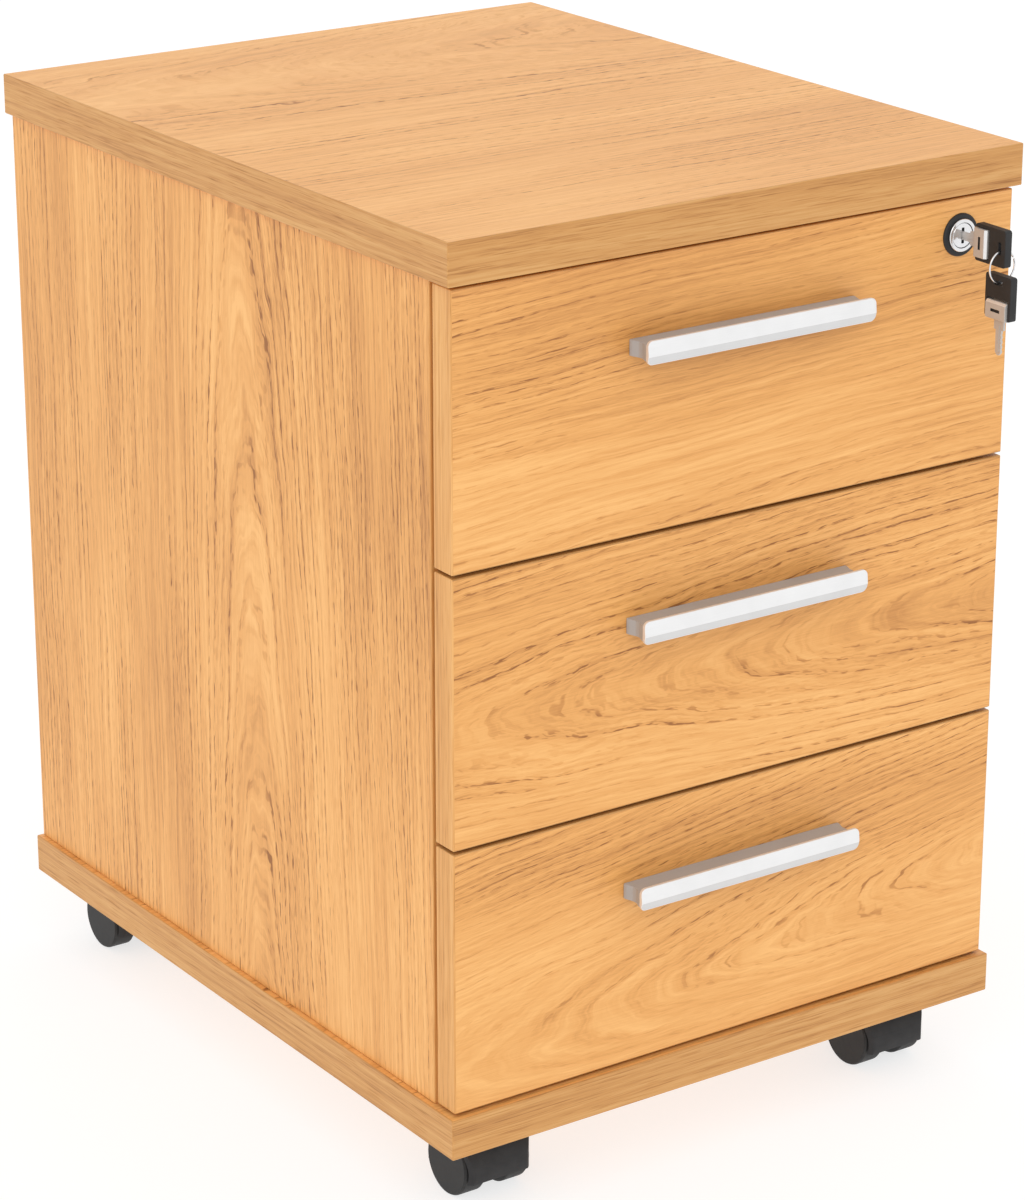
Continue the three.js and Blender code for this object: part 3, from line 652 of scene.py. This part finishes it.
def screw_head(radius, height):
    """A pan head with a cross recess, standing on z = 0, in mm."""
    rim = height * 0.35
    dome = [(radius, rim), (radius * 0.8, height * 0.85), (radius * 0.4, height)]
    head = lathe(profile_mm([(0, 0), (radius, 0), *dome, (0, height)]), "z", 28)
    arm = radius * 0.62
    slot = radius * 0.14
    recess = [box_mm((-u, -v, rim), (u, v, height * 2)) for u, v in ((arm, slot), (slot, arm))]
    return combined(head, recess)


FACING = {
    "-y": Matrix.Rotation(math.radians(90), 4, "X"),
    "+y": Matrix.Rotation(math.radians(-90), 4, "X"),
    "-x": Matrix.Rotation(math.radians(-90), 4, "Y"),
    "+x": Matrix.Rotation(math.radians(90), 4, "Y"),
    "-z": Matrix.Rotation(math.radians(180), 4, "X"),
    "+z": Matrix.Identity(4),
}


def screws(name, body, material, places, radius, height, rng):
    """One piece of equal screws. places holds (x, y, z, facing) in metres; each head gets its own turn."""
    master = bpy.data.meshes.new("screw_master")
    head = screw_head(radius, height)
    head.to_mesh(master)
    head.free()
    solids = []
    for x, y, z, facing in places:
        bm = bmesh.new()
        bm.from_mesh(master)
        turn = FACING[facing] @ Matrix.Rotation(rng.uniform(0, math.pi), 4, "Z")
        solids.append(moved(bm, (x, y, z), turn))
    bpy.data.meshes.remove(master)
    return piece(name, finished(gathered(*solids)), [material], body)


# ---- Lock and keys ----


def lock_face():
    """The middle of the lock on the drawer front's face."""
    middle = centre("lock_housing")
    return Vector((middle.x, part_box("drawer_front_1")[0].y, middle.z))


LOCK_PLATE = (18.3, 20.8)  # its front and rear, behind the drawer front's face
LOCK_SCREW_X = 13.6


def lock(black, chrome, zinc, rng):
    at = lock_face()
    bore = LOCK_BORE_RADIUS
    rim = [(12.75, 0, 0), (12.75, -0.7, 0.5), (11.9, -1.6, 0.5)]
    ring = outline_mm([(bore, 0, 0), *rim, (bore, -1.6, 0.35)], 4)
    ring = finished(lathe(ring, "y", 96, True))
    piece("lock_rosette_ring", ring, [black], "drawer_1", ["lock_rosette"], at)

    barrel = 9.2
    inner = 7.6
    turned = [(inner, -2.9, 0.25), (9.45, -2.9, 0.35), (9.75, -2.45, 0.2), (9.75, -1.9, 0.1)]
    turned += [(barrel, -1.9, 0), (barrel, 21.5, 0)]
    pitch = 1.25
    for k in range(9):
        start = 22 + k * pitch
        turned += [(barrel, start, 0), (barrel - 0.45, start + pitch * 0.6, 0)]
    turned += [(barrel - 0.5, 34, 0.3), (inner, 34, 0.2)]
    plate = ease(prism(rectangle(18, 10, 3), "y", *mm(*LOCK_PLATE)), 0.3 * MM)
    hole = lathe(rod_mm(8.4, 0, 40), "y", 48)
    housing = gathered(lathe(outline_mm(turned, 3), "y", 96, True), combined(plate, [hole]))
    piece("lock_barrel", finished(housing), [chrome], "drawer_1", ["lock_housing"], at)
    ears = [(at.x + side * LOCK_SCREW_X * MM, at.y + LOCK_PLATE[1] * MM, at.z, "+y") for side in (-1, 1)]
    screws("lock_plate_screws", "drawer_1", zinc, ears, 3.1, 1.9, rng)

    turned = [(0, -2.6), (7.05, -2.6), (7.3, -2.35), (7.3, 34.3)]
    cam = [(8.2, 34.3), (8.4, 34.5), (8.4, 36.6), (8.2, 36.8), (0, 36.8)]
    plug = lathe(profile_mm(turned + cam), "y", 96)
    pin = lathe(profile_mm([(0, 35.8), (2, 35.8), (2, 44.4), (1.6, 44.8), (0, 44.8)]), "y", 32)
    pin = moved(pin, mm(4, 0, 4))
    # The keyway's walls take the black plastic as painted shade inside the slot.
    keyway = painted_faces(ease(box_mm((-1, -4, -4.7), (1, 20, 4.7)), 0.35 * MM, 2), 1)
    cut = combined(combined(plug, [pin], "UNION"), [keyway])
    piece("lock_cylinder_plug", finished(cut), [chrome, black], "lock_plug", ["lock_plug"], at)


KEY_SLOT = 16  # ring slot, from the fold axis
KEY_HEAD_REACH = 20.8  # far end of the head, from the fold axis
COLLAR_HALF_WIDTH = 8.5
RING_START = 28  # degrees
RING_SWEEP = 354  # degrees, which leaves a small gap between the wire's ends


def key_head_mesh():
    """About the fold axis, with the blade along +Y and the ring slot in the far end."""
    front = 5.1
    rear = front - 25.9
    half_width = 11
    corners = [(front, half_width, 1.5), (rear, half_width, 1.8)]
    corners += [(rear, -half_width, 1.8), (front, -half_width, 1.5)]
    slab = ease(prism(outline_mm(corners, 6), "x", -2.5 * MM, 2.5 * MM), 0.4 * MM, 3, 40)
    notch = box_mm((-5, -6.6, -8.8), (5, front + 1, 8.8))
    half_mouth = [(-3.1, -4.3, 0), (-0.6, -2.4, 0.6), (0.6, -2.4, 0.6), (3.1, -4.3, 0)]
    mouth = half_mouth + [(-x, -z, radius) for x, z, radius in half_mouth]
    slot = prism(outline_mm(mouth, 3), "y", -(KEY_SLOT + 1.2) * MM, -(KEY_SLOT - 1.2) * MM)
    pin_hole = lathe(rod_mm(1.3, -10.75, 10.75), "z", 24)
    return finished(combined(slab, [notch, slot, pin_hole]))


def key_blade_mesh():
    """Collar with its window on each side, fold pin, shoulder, and a milled blade."""
    section = [(-4.2, -3.9), (-2.8, -5.5), (2.8, -5.5), (4.2, -3.9)]
    section += [(4.2, 4.5), (3.2, 5.5), (-3.2, 5.5), (-4.2, 4.5)]
    collar = prism(profile_mm(section), "z", -COLLAR_HALF_WIDTH * MM, COLLAR_HALF_WIDTH * MM)
    # The collar's chamfers take the brighter satin metal as a painted highlight.
    painted_faces(collar, 2, lambda face: face.normal.y < -0.3 and abs(face.normal.x) > 0.3)
    ease(collar, 0.15 * MM, 1, 35)
    for side in (-1, 1):
        window = box_mm((side * 3.6 - 0.7, -0.9, -3.8), (side * 3.6 + 0.7, 0.9, 3.8))
        # The windows' faces take the black plastic as painted shade in the recesses.
        collar = combined(collar, [painted_faces(moved(window, mm(side * 0.6, 0, 0)), 1)])
    edge = [(4.5, -4.2, 0), (11.9, -4.2, 0.6), (11.9, -2.5, 0.3)]
    for k in range(4):
        notch = 13.6 + 2.9 * k
        cut = ((0, -2.5), (0.6, -2.05), (1.3, -2.05), (1.9, -2.5))
        edge += [(notch + along, depth, 0.2) for along, depth in cut]
    edge += [(25.2, -2.5, 0.5), (27, -0.8, 0.5), (27, 0.8, 0.5), (25.2, 2.5, 0.5)]
    edge += [(11.9, 2.5, 0.3), (11.9, 4.2, 0.6), (4.5, 4.2, 0)]
    shank = ease(prism(outline_mm(edge, 3), "x", -0.7 * MM, 0.7 * MM), 0.12 * MM, 1, 60)
    grooves = [ease(box_mm((side * 0.7 - 0.25, 9, z - 0.5), (side * 0.7 + 0.25, 25, z + 0.5)), 0.1 * MM, 1)
               for side, z in ((-1, -0.9), (1, 0.9))]
    pin = [(0, -10.6), (0.9, -10.6), (1, -10.5), (1, 10.5), (0.9, 10.6), (0, 10.6)]
    pin = lathe(profile_mm(pin), "z", 24)
    return finished(combined(combined(shank, grooves), [collar, pin], "UNION"))


def keys(black, nickel, chrome, satin):
    ring_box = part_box("key_ring")
    ring_middle = centre("key_ring")
    fold = Vector((ring_middle.x, ring_middle.y + KEY_SLOT * MM, centre("lock_housing").z))
    spare_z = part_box("spare_key_head")[1].z - KEY_HEAD_REACH * MM
    spare_fold = Vector((ring_middle.x, ring_middle.y, spare_z))
    down = (math.radians(-90), 0, 0)
    head = key_head_mesh()
    blade = key_blade_mesh()
    # On the collar, material 1 is painted shade in its windows and 2 a painted highlight on its chamfers.
    metals = [nickel, black, satin]
    for name, blade_body, at, turn in (("key", "lock_plug", fold, (0, 0, 0)),
                                       ("spare_key", "spare_key_blade", spare_fold, down)):
        head_node = f"{name}_head"
        blade_node = f"{name}_blade"
        piece(f"{name}_bow", head, [black], head_node, [head_node], at, turn)
        piece(f"{name}_collar_and_blade", blade, metals, blade_body, [blade_node], at, turn)
    wire = (ring_box[1].y - ring_box[0].y) / 2
    radius = (ring_box[1].x - ring_box[0].x) / 2 - wire
    turns = [math.radians(RING_START + RING_SWEEP * k / 120) for k in range(121)]
    path = [Vector((radius * math.cos(a), 0, radius * math.sin(a))) for a in turns]
    wire_mesh = finished(tube(path, wire))
    piece("key_ring_wire", wire_mesh, [chrome], "key_ring", ["key_ring"], ring_middle)


# ---- Drawer runners and steel drawer sides ----

STEEL = 1.2
ROLLER_RADIUS = 6.75
ROLLER_WIDTH = 8
ROLLER_GAP = 0.3  # between a roller and the track it runs on
RUNNER_LENGTH = 400
DRAWER_HALF_WIDTH = 162
RUNNER_SCREWS = (37, 197, 357)  # from the runner's front end


def strip(points, thickness=STEEL, radius=1.6):
    """The outline of a bent sheet whose middle line follows these (x, z) points, in mm."""
    line = [Vector(p) for p in points]
    smooth = [line[0]]
    for before, here, after in zip(line, line[1:], line[2:]):
        bend = rounded([(*before, 0), (*here, radius), (*after, 0)], 5)
        smooth += bend[1:-1]
    smooth.append(line[-1])
    left, right = [], []
    for i, point in enumerate(smooth):
        direction = (smooth[min(i + 1, len(smooth) - 1)] - smooth[max(i - 1, 0)]).normalized()
        side = Vector((-direction.y, direction.x)) * thickness / 2
        left.append((point + side) * MM)
        right.append((point - side) * MM)
    return left + right[::-1]


def to_side(bm, side):
    """Mirrors a shape made for the right side if it's wanted on the left."""
    return moved(bm, turn=Matrix.Scale(side, 4, (1, 0, 0)))


def rivet_mesh(side, head_x, shank_end, y, z, rise=0.1):
    """A roller's steel rivet along X, in mm. Its head's outer face is at head_x, and rise rounds its inner rim."""
    out = math.copysign(1, head_x - shank_end)
    under = head_x - 1.1 * out
    head = [(0, head_x, 0), (2.8, head_x, 0.5), (3.6, head_x - 0.8 * out, 0.2), (3.6, under, rise)]
    shank = [(2.5, under, 0), (2.5, shank_end, 0), (0, shank_end, 0)]
    return to_side(moved(lathe(outline_mm(head + shank, 3), "x", 32), mm(0, y, z)), side)


def roller(side, x0, width, y, z):
    """A nylon roller turned about X, in mm from the piece's own origin."""
    x1 = x0 + width
    tread = outline_mm([(2.6, x0, 0.2), (5.2, x0, 0.3), (5.6, x0 + 0.6, 0.3), (ROLLER_RADIUS, x0 + 0.6, 0.7),
                        (ROLLER_RADIUS, x1, 0.7), (2.6, x1, 0.2)], 4)
    wheel = moved(lathe(tread, "x", 48, True), mm(0, y, z))
    return to_side(wheel, side)


def mirrored(points, side):
    return [(side * x, z) for x, z in points]


def runner_pieces(k, hand, side, origin, wall, coat, nylon, zinc, rng):
    channel = mirrored([(wall - 12, 4.6), (wall - 0.6, 4.6), (wall - 0.6, 31.4), (wall - 8, 31.4)], side)
    sheet = ease(prism(strip(channel), "y", 0, RUNNER_LENGTH * MM), 0.2 * MM, 1, 60)
    stop = strip(mirrored([(wall - 11.4, 5.4), (wall - 11.4, 9.2)], side))
    stop = ease(prism(stop, "y", 384 * MM, 398 * MM), 0.2 * MM, 1, 60)
    axis = (9, 24 - ROLLER_GAP - ROLLER_RADIUS)
    start = wall - 11
    wheel = roller(side, start, ROLLER_WIDTH, *axis)
    rivet = rivet_mesh(side, start - 0.9, start + ROLLER_WIDTH + 2.4, *axis)
    node = f"cabinet_runner_{k}_{hand}"
    channel = finished(gathered(sheet, stop))
    piece(f"runner_channel_{k}_{hand}", channel, [coat], "cabinet", [node], origin)
    piece(f"runner_roller_{k}_{hand}", finished(wheel), [nylon], "cabinet", (), origin)
    piece(f"runner_rivet_{k}_{hand}", finished(rivet), [zinc], "cabinet", (), origin)
    facing = "-x" if side > 0 else "+x"
    x = side * (wall - STEEL) * MM
    places = [(x, origin.y + y * MM, origin.z + 18 * MM, facing) for y in RUNNER_SCREWS]
    screws(f"runner_screws_{k}_{hand}", "cabinet", zinc, places, 3.4, 1.9, rng)


def drawer_side_pieces(k, hand, side, origin, wall, coat, nylon, zinc, rng):
    """origin is under the drawer front's rear face. wall is the side's outer face, in mm from the middle."""
    mid = wall - STEEL / 2
    low = 10
    high = 110
    wall_line = [(wall - STEEL - 16, low + 0.6), (mid, low + 0.6), (mid, high - 0.6)]
    wall_line += [(mid - STEEL, high - 0.6), (mid - STEEL, high - 6)]
    wall_sheet = strip(mirrored(wall_line, side), radius=0.75)
    wall_sheet = ease(prism(wall_sheet, "y", 0, RUNNER_LENGTH * MM), 0.2 * MM, 1, 60)
    track_line = mirrored([(wall + 11, 24.6), (wall + 0.62, 24.6), (wall + 0.62, 37)], side)
    track = ease(prism(strip(track_line), "y", 0.4 * MM, (RUNNER_LENGTH - 0.4) * MM), 0.2 * MM, 1, 60)
    across = sorted((side * (wall - STEEL - 16), side * (mid - 0.2)))
    flange = ease(box_mm((across[0], 0, low + 20), (across[1], STEEL, high - 10)), 0.5 * MM, 2, 60)
    solids = [wall_sheet, track, flange]
    if side > 0:
        catch = ease(box_mm((wall - 0.6, 12, 50), (wall + 10, 15, 58)), 0.5 * MM, 2)
        solids.append(catch)
    for i in range(5):
        spot_weld = lathe(profile_mm([(0, 0), (1.5, 0), (1.3, 0.35), (0, 0.45)]), "x", 16)
        solids.append(to_side(moved(spot_weld, mm(wall + STEEL, 30 + 85 * i, 32)), side))
    body = f"drawer_{k}"
    node = f"drawer_side_{hand}_{k}"
    steel = finished(gathered(*solids))
    piece(f"drawer_steel_side_{k}_{hand}", steel, [coat], body, [node], origin)
    axis = (391, 4 + STEEL + ROLLER_GAP + ROLLER_RADIUS)
    wheel = roller(side, wall + 2, ROLLER_WIDTH, *axis)
    rivet = rivet_mesh(side, wall + 10.9, wall - 0.6, *axis, rise=0)
    piece(f"drawer_roller_{k}_{hand}", finished(wheel), [nylon], body, (), origin)
    piece(f"drawer_rivet_{k}_{hand}", finished(rivet), [zinc], body, (), origin)
    face = "+x" if side > 0 else "-x"
    x = side * (wall - STEEL - 9) * MM
    places = [(x, origin.y + STEEL * MM, origin.z + z * MM, "+y") for z in (42, 88)]
    places += [(side * wall * MM, origin.y + 392 * MM, origin.z + z * MM, face) for z in (50, 88)]
    screws(f"drawer_screws_{k}_{hand}", body, zinc, places, 3.0, 1.8, rng)


def drawer_hardware(grey_coat, white_coat, nylon, zinc, rng):
    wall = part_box("side_panel_right")[0].x / MM
    for k in DRAWERS:
        low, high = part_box(f"drawer_front_{k}")
        runner_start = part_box(f"cabinet_runner_{k}_right")[0].y
        for hand, side in SIDES:
            place = (k, hand, side)
            runner_pieces(*place, Vector((0, runner_start, low.z)), wall, white_coat, nylon, zinc, rng)
            start = Vector((0, high.y, low.z))
            drawer_side_pieces(*place, start, DRAWER_HALF_WIDTH, grey_coat, nylon, zinc, rng)
        grip = centre(f"handle_{k}")
        places = [(side * HANDLE_SCREW_X * MM, high.y, grip.z - 0.5 * MM, "+y") for side in (-1, 1)]
        screws(f"handle_screws_{k}", f"drawer_{k}", zinc, places, 4.0, 2.2, rng)


# ---- Lock bar and its guides keep their CAD shapes with eased edges ----


def eased_node(name, node, width, material, body):
    return piece(name, finished(ease(from_node(node), width * MM, 2, 30)), [material], body, [node])


def lock_bar_parts(zinc, nylon):
    eased_node("lock_bar_strip", "lock_bar", 0.35, zinc, "lock_bar")
    for place in ("upper", "lower"):
        eased_node(f"lock_bar_guide_block_{place}", f"lock_bar_guide_{place}", 0.5, nylon, "cabinet")


# ---- Casters ----

TRAIL = 13
WHEEL_RADIUS = 20
HOOD_RADIUS = 24
CASTER_HEIGHT = 50
CASTER_PLATE_LOW = 48
CASTER_SCREW_OFFSET = 15


def hood_mesh():
    """A cover over both wheels with a web between them, about the swivel axis on the floor."""
    low = math.degrees(math.asin((14 - WHEEL_RADIUS) / HOOD_RADIUS))
    side = arc(mm(TRAIL, WHEEL_RADIUS), HOOD_RADIUS * MM, low, 180 - low, 72)
    cover = prism(side, "x", -25 * MM, 25 * MM)
    plan = moved(prism(rectangle(23, HOOD_RADIUS + 0.4, 8, 12), "z", 0, 0.06), mm(0, TRAIL, 0))
    cover = combined(cover, [plan], "INTERSECT")
    boss = lathe(rod_mm(12, 35, 46), "z", 64)
    cover = combined(cover, [boss], "UNION")
    tools = []
    for hand in (-1, 1):
        room = [(0, 7.5, 0), (21.3, 7.5, 1.5), (21.3, 26, 0), (0, 26, 0)]
        cavity = lathe(outline_mm(room, 4), "x", 96)
        tools.append(moved(to_side(cavity, hand), mm(0, TRAIL, WHEEL_RADIUS)))
    tools.append(lathe(rod_mm(12.6, 42.7, 60), "z", 64))
    tools.append(lathe(rod_mm(4.3, 25, 50), "z", 32))
    axle = lathe(rod_mm(3.3, -10, 10), "x", 32)
    tools.append(moved(axle, mm(0, TRAIL, WHEEL_RADIUS)))
    return finished(combined(cover, tools))


def wheel_mesh(side):
    """About its own centre line, with the closed disc outwards."""
    outer = [(0, 23, 0), (19.2, 23, 0.6), (WHEEL_RADIUS, 21.6, 1.6), (WHEEL_RADIUS, 8, 1.4)]
    inner_face = [(17.6, 8, 0.5), (17.2, 9.4, 0.6), (6.4, 9.4, 0.6), (6.0, 8, 0.4)]
    bore = [(3.3, 8, 0.2), (3.3, 21.6, 0), (0, 21.6, 0)]
    wheel = lathe(outline_mm(outer + inner_face + bore, 5), "x", 128)
    return finished(to_side(wheel, side))


def caster_plate_mesh():
    plate = prism(rectangle(19, 19, 3), "z", CASTER_PLATE_LOW * MM, CASTER_HEIGHT * MM)
    ease(plate, 0.3 * MM, 2, 40)
    housing = [(0, 49), (12, 49), (12, 46.4), (11.6, 46), (11.6, 45.4), (12, 45), (12, 43.4), (11.6, 43)]
    stem = [(4.6, 43), (4, 42.6), (4, 30.5), (3.5, 30), (0, 30)]
    return finished(combined(plate, [lathe(profile_mm(housing + stem), "z", 64)], "UNION"))


def casters(black, wheel_black, zinc, rng):
    hood = hood_mesh()
    plate = caster_plate_mesh()
    wheels = {hand: wheel_mesh(side) for hand, side in SIDES}
    half_axle = [(0, -21.3, 0), (2.6, -21.3, 0.2), (3, -20.9, 0.2)]
    axle = half_axle + [(x, -along, radius) for x, along, radius in reversed(half_axle)]
    axle = finished(lathe(outline_mm(axle, 2), "x", 32))
    for name in CASTERS:
        stem = centre(f"{name}_plate")
        foot = Vector((stem.x, stem.y, 0))
        hub = centre(f"{name}_axle")
        piece(f"{name}_cover", hood, [black], name, [f"{name}_hood"], foot)
        piece(f"{name}_mounting_plate", plate, [zinc], "cabinet", [f"{name}_plate"], foot)
        piece(f"{name}_axle_pin", axle, [zinc], name, [f"{name}_axle"], hub)
        for hand, _ in SIDES:
            wheel = f"{name}_wheel_{hand}"
            piece(f"{wheel}_disc", wheels[hand], [wheel_black], wheel, [wheel], hub)
        reach = CASTER_SCREW_OFFSET * MM
        spread = [(i * reach, j * reach) for i in (-1, 1) for j in (-1, 1)]
        corners = [(stem.x + x, stem.y + y, CASTER_PLATE_LOW * MM, "-z") for x, y in spread]
        screws(f"{name}_screws", "cabinet", zinc, corners, 2.9, 1.4, rng)


# ---- The stage ----

CAMERA_PLACE = (-1.3077, -1.90037, 1.1176)
CAMERA_FORWARD = (0.53231, 0.77501, -0.34059)
CAMERA_LENS = 118.26


def camera():
    data = bpy.data.cameras.new("camera")
    data.lens = CAMERA_LENS
    data.sensor_width = 36
    data.clip_start = 0.05
    obj = bpy.data.objects.new("camera", data)
    obj.location = CAMERA_PLACE
    obj.rotation_euler = Vector(CAMERA_FORWARD).to_track_quat("-Z", "Y").to_euler()
    scene.collection.objects.link(obj)
    scene.camera = obj


def floor():
    bm = bmesh.new()
    bmesh.ops.create_grid(bm, x_segments=1, y_segments=1, size=6)
    mesh = finished(bm)
    n = Nodes("pale_floor")
    soft = n.noise(n.position([400, 400, 400]), 2.0)
    n.set(Base_Color=n.ramp(soft, [(0.3, (0.31,) * 3), (0.7, (0.33,) * 3)]))
    n.shader.inputs["Roughness"].default_value = 0.9
    n.shader.inputs["Specular IOR Level"].default_value = 0.0
    n.shader.inputs["Emission Color"].default_value = (1, 1, 1, 1)
    n.shader.inputs["Emission Strength"].default_value = 0.73
    mesh.materials.append(n.material)
    obj = bpy.data.objects.new("floor", mesh)
    scene.collection.objects.link(obj)


def softbox(name, place, aim, size, power):
    data = bpy.data.lights.new(name, "AREA")
    data.shape = "RECTANGLE"
    data.size, data.size_y = size
    data.energy = power
    obj = bpy.data.objects.new(name, data)
    obj.location = place
    obj.rotation_euler = (Vector(aim) - Vector(place)).to_track_quat("-Z", "Y").to_euler()
    scene.collection.objects.link(obj)


def lights():
    world = bpy.data.worlds.new("studio")
    world.use_nodes = True
    background = world.node_tree.nodes["Background"]
    background.inputs["Color"].default_value = (1, 1, 1, 1)
    background.inputs["Strength"].default_value = 0.98
    scene.world = world
    softbox("key", (-2.4, -2.6, 2.6), (0, 0, 0.35), (2.0, 2.0), 18)
    scene.view_settings.view_transform = "Standard"


# ---- The object ----

# The fronts' x-grain band, on their top and bottom edges, is darkened to 0.66 as painted shade of the gaps between
# the fronts.
BAND_TONES = {"slab": (0.75,) * 3, "panel": (0.88,) * 3, "front": (0.66, 0.88, 0.90)}

bands = [[edge_wood(f"{board}_edge_band_{grain}", grain, tone) for grain, tone in zip(AXES, tones)]
         for board, tones in BAND_TONES.items()]
raw = chipboard()
boards(bands, raw)

satin = metal("satin_nickel", (0.84, 0.84, 0.84), 0.36, brushed="x", metallic=0.5)
# A darker copy of the satin metal for the handle's lower facet: painted shade.
satin_lower_facet_painted_shade = metal("satin_nickel_lower_facet_painted_shade", (0.68, 0.68, 0.68), 0.40, brushed="x", metallic=0.5)
# The handle foot's grey, darker than the plate's satin metal, is painted shade under the plate.
matt_foot_grey_painted_shade = metal("matt_foot_grey_with_painted_shade", (0.45, 0.445, 0.44), 0.55, brushed="x", metallic=0.15)
nickel = metal("key_nickel", (0.56, 0.53, 0.50), 0.38, metallic=0.3)
chrome = metal("chrome", (0.78, 0.78, 0.79), 0.16)
zinc = metal("zinc_plate", (0.60, 0.61, 0.62), 0.38, spangle=0.3)
grey_coat = painted("grey_powder_coat", (0.56, 0.57, 0.58), 0.45, mottle=0.03)
white_coat = painted("white_powder_coat", (0.74, 0.74, 0.73), 0.42, mottle=0.03)
nylon = moulded("natural_nylon", (0.66, 0.64, 0.58), 0.5, specular=0.4)
black = moulded("black_plastic", (0.028, 0.028, 0.029), 0.5, specular=0.25)
wheel_black = wheel_plastic()
rng = random.Random(7)
handles([satin, matt_foot_grey_painted_shade, satin_lower_facet_painted_shade])
lock(black, chrome, zinc, rng)
keys(black, nickel, chrome, satin)
drawer_hardware(grey_coat, white_coat, nylon, zinc, rng)
lock_bar_parts(zinc, nylon)
casters(black, wheel_black, zinc, rng)

camera()
floor()
lights()
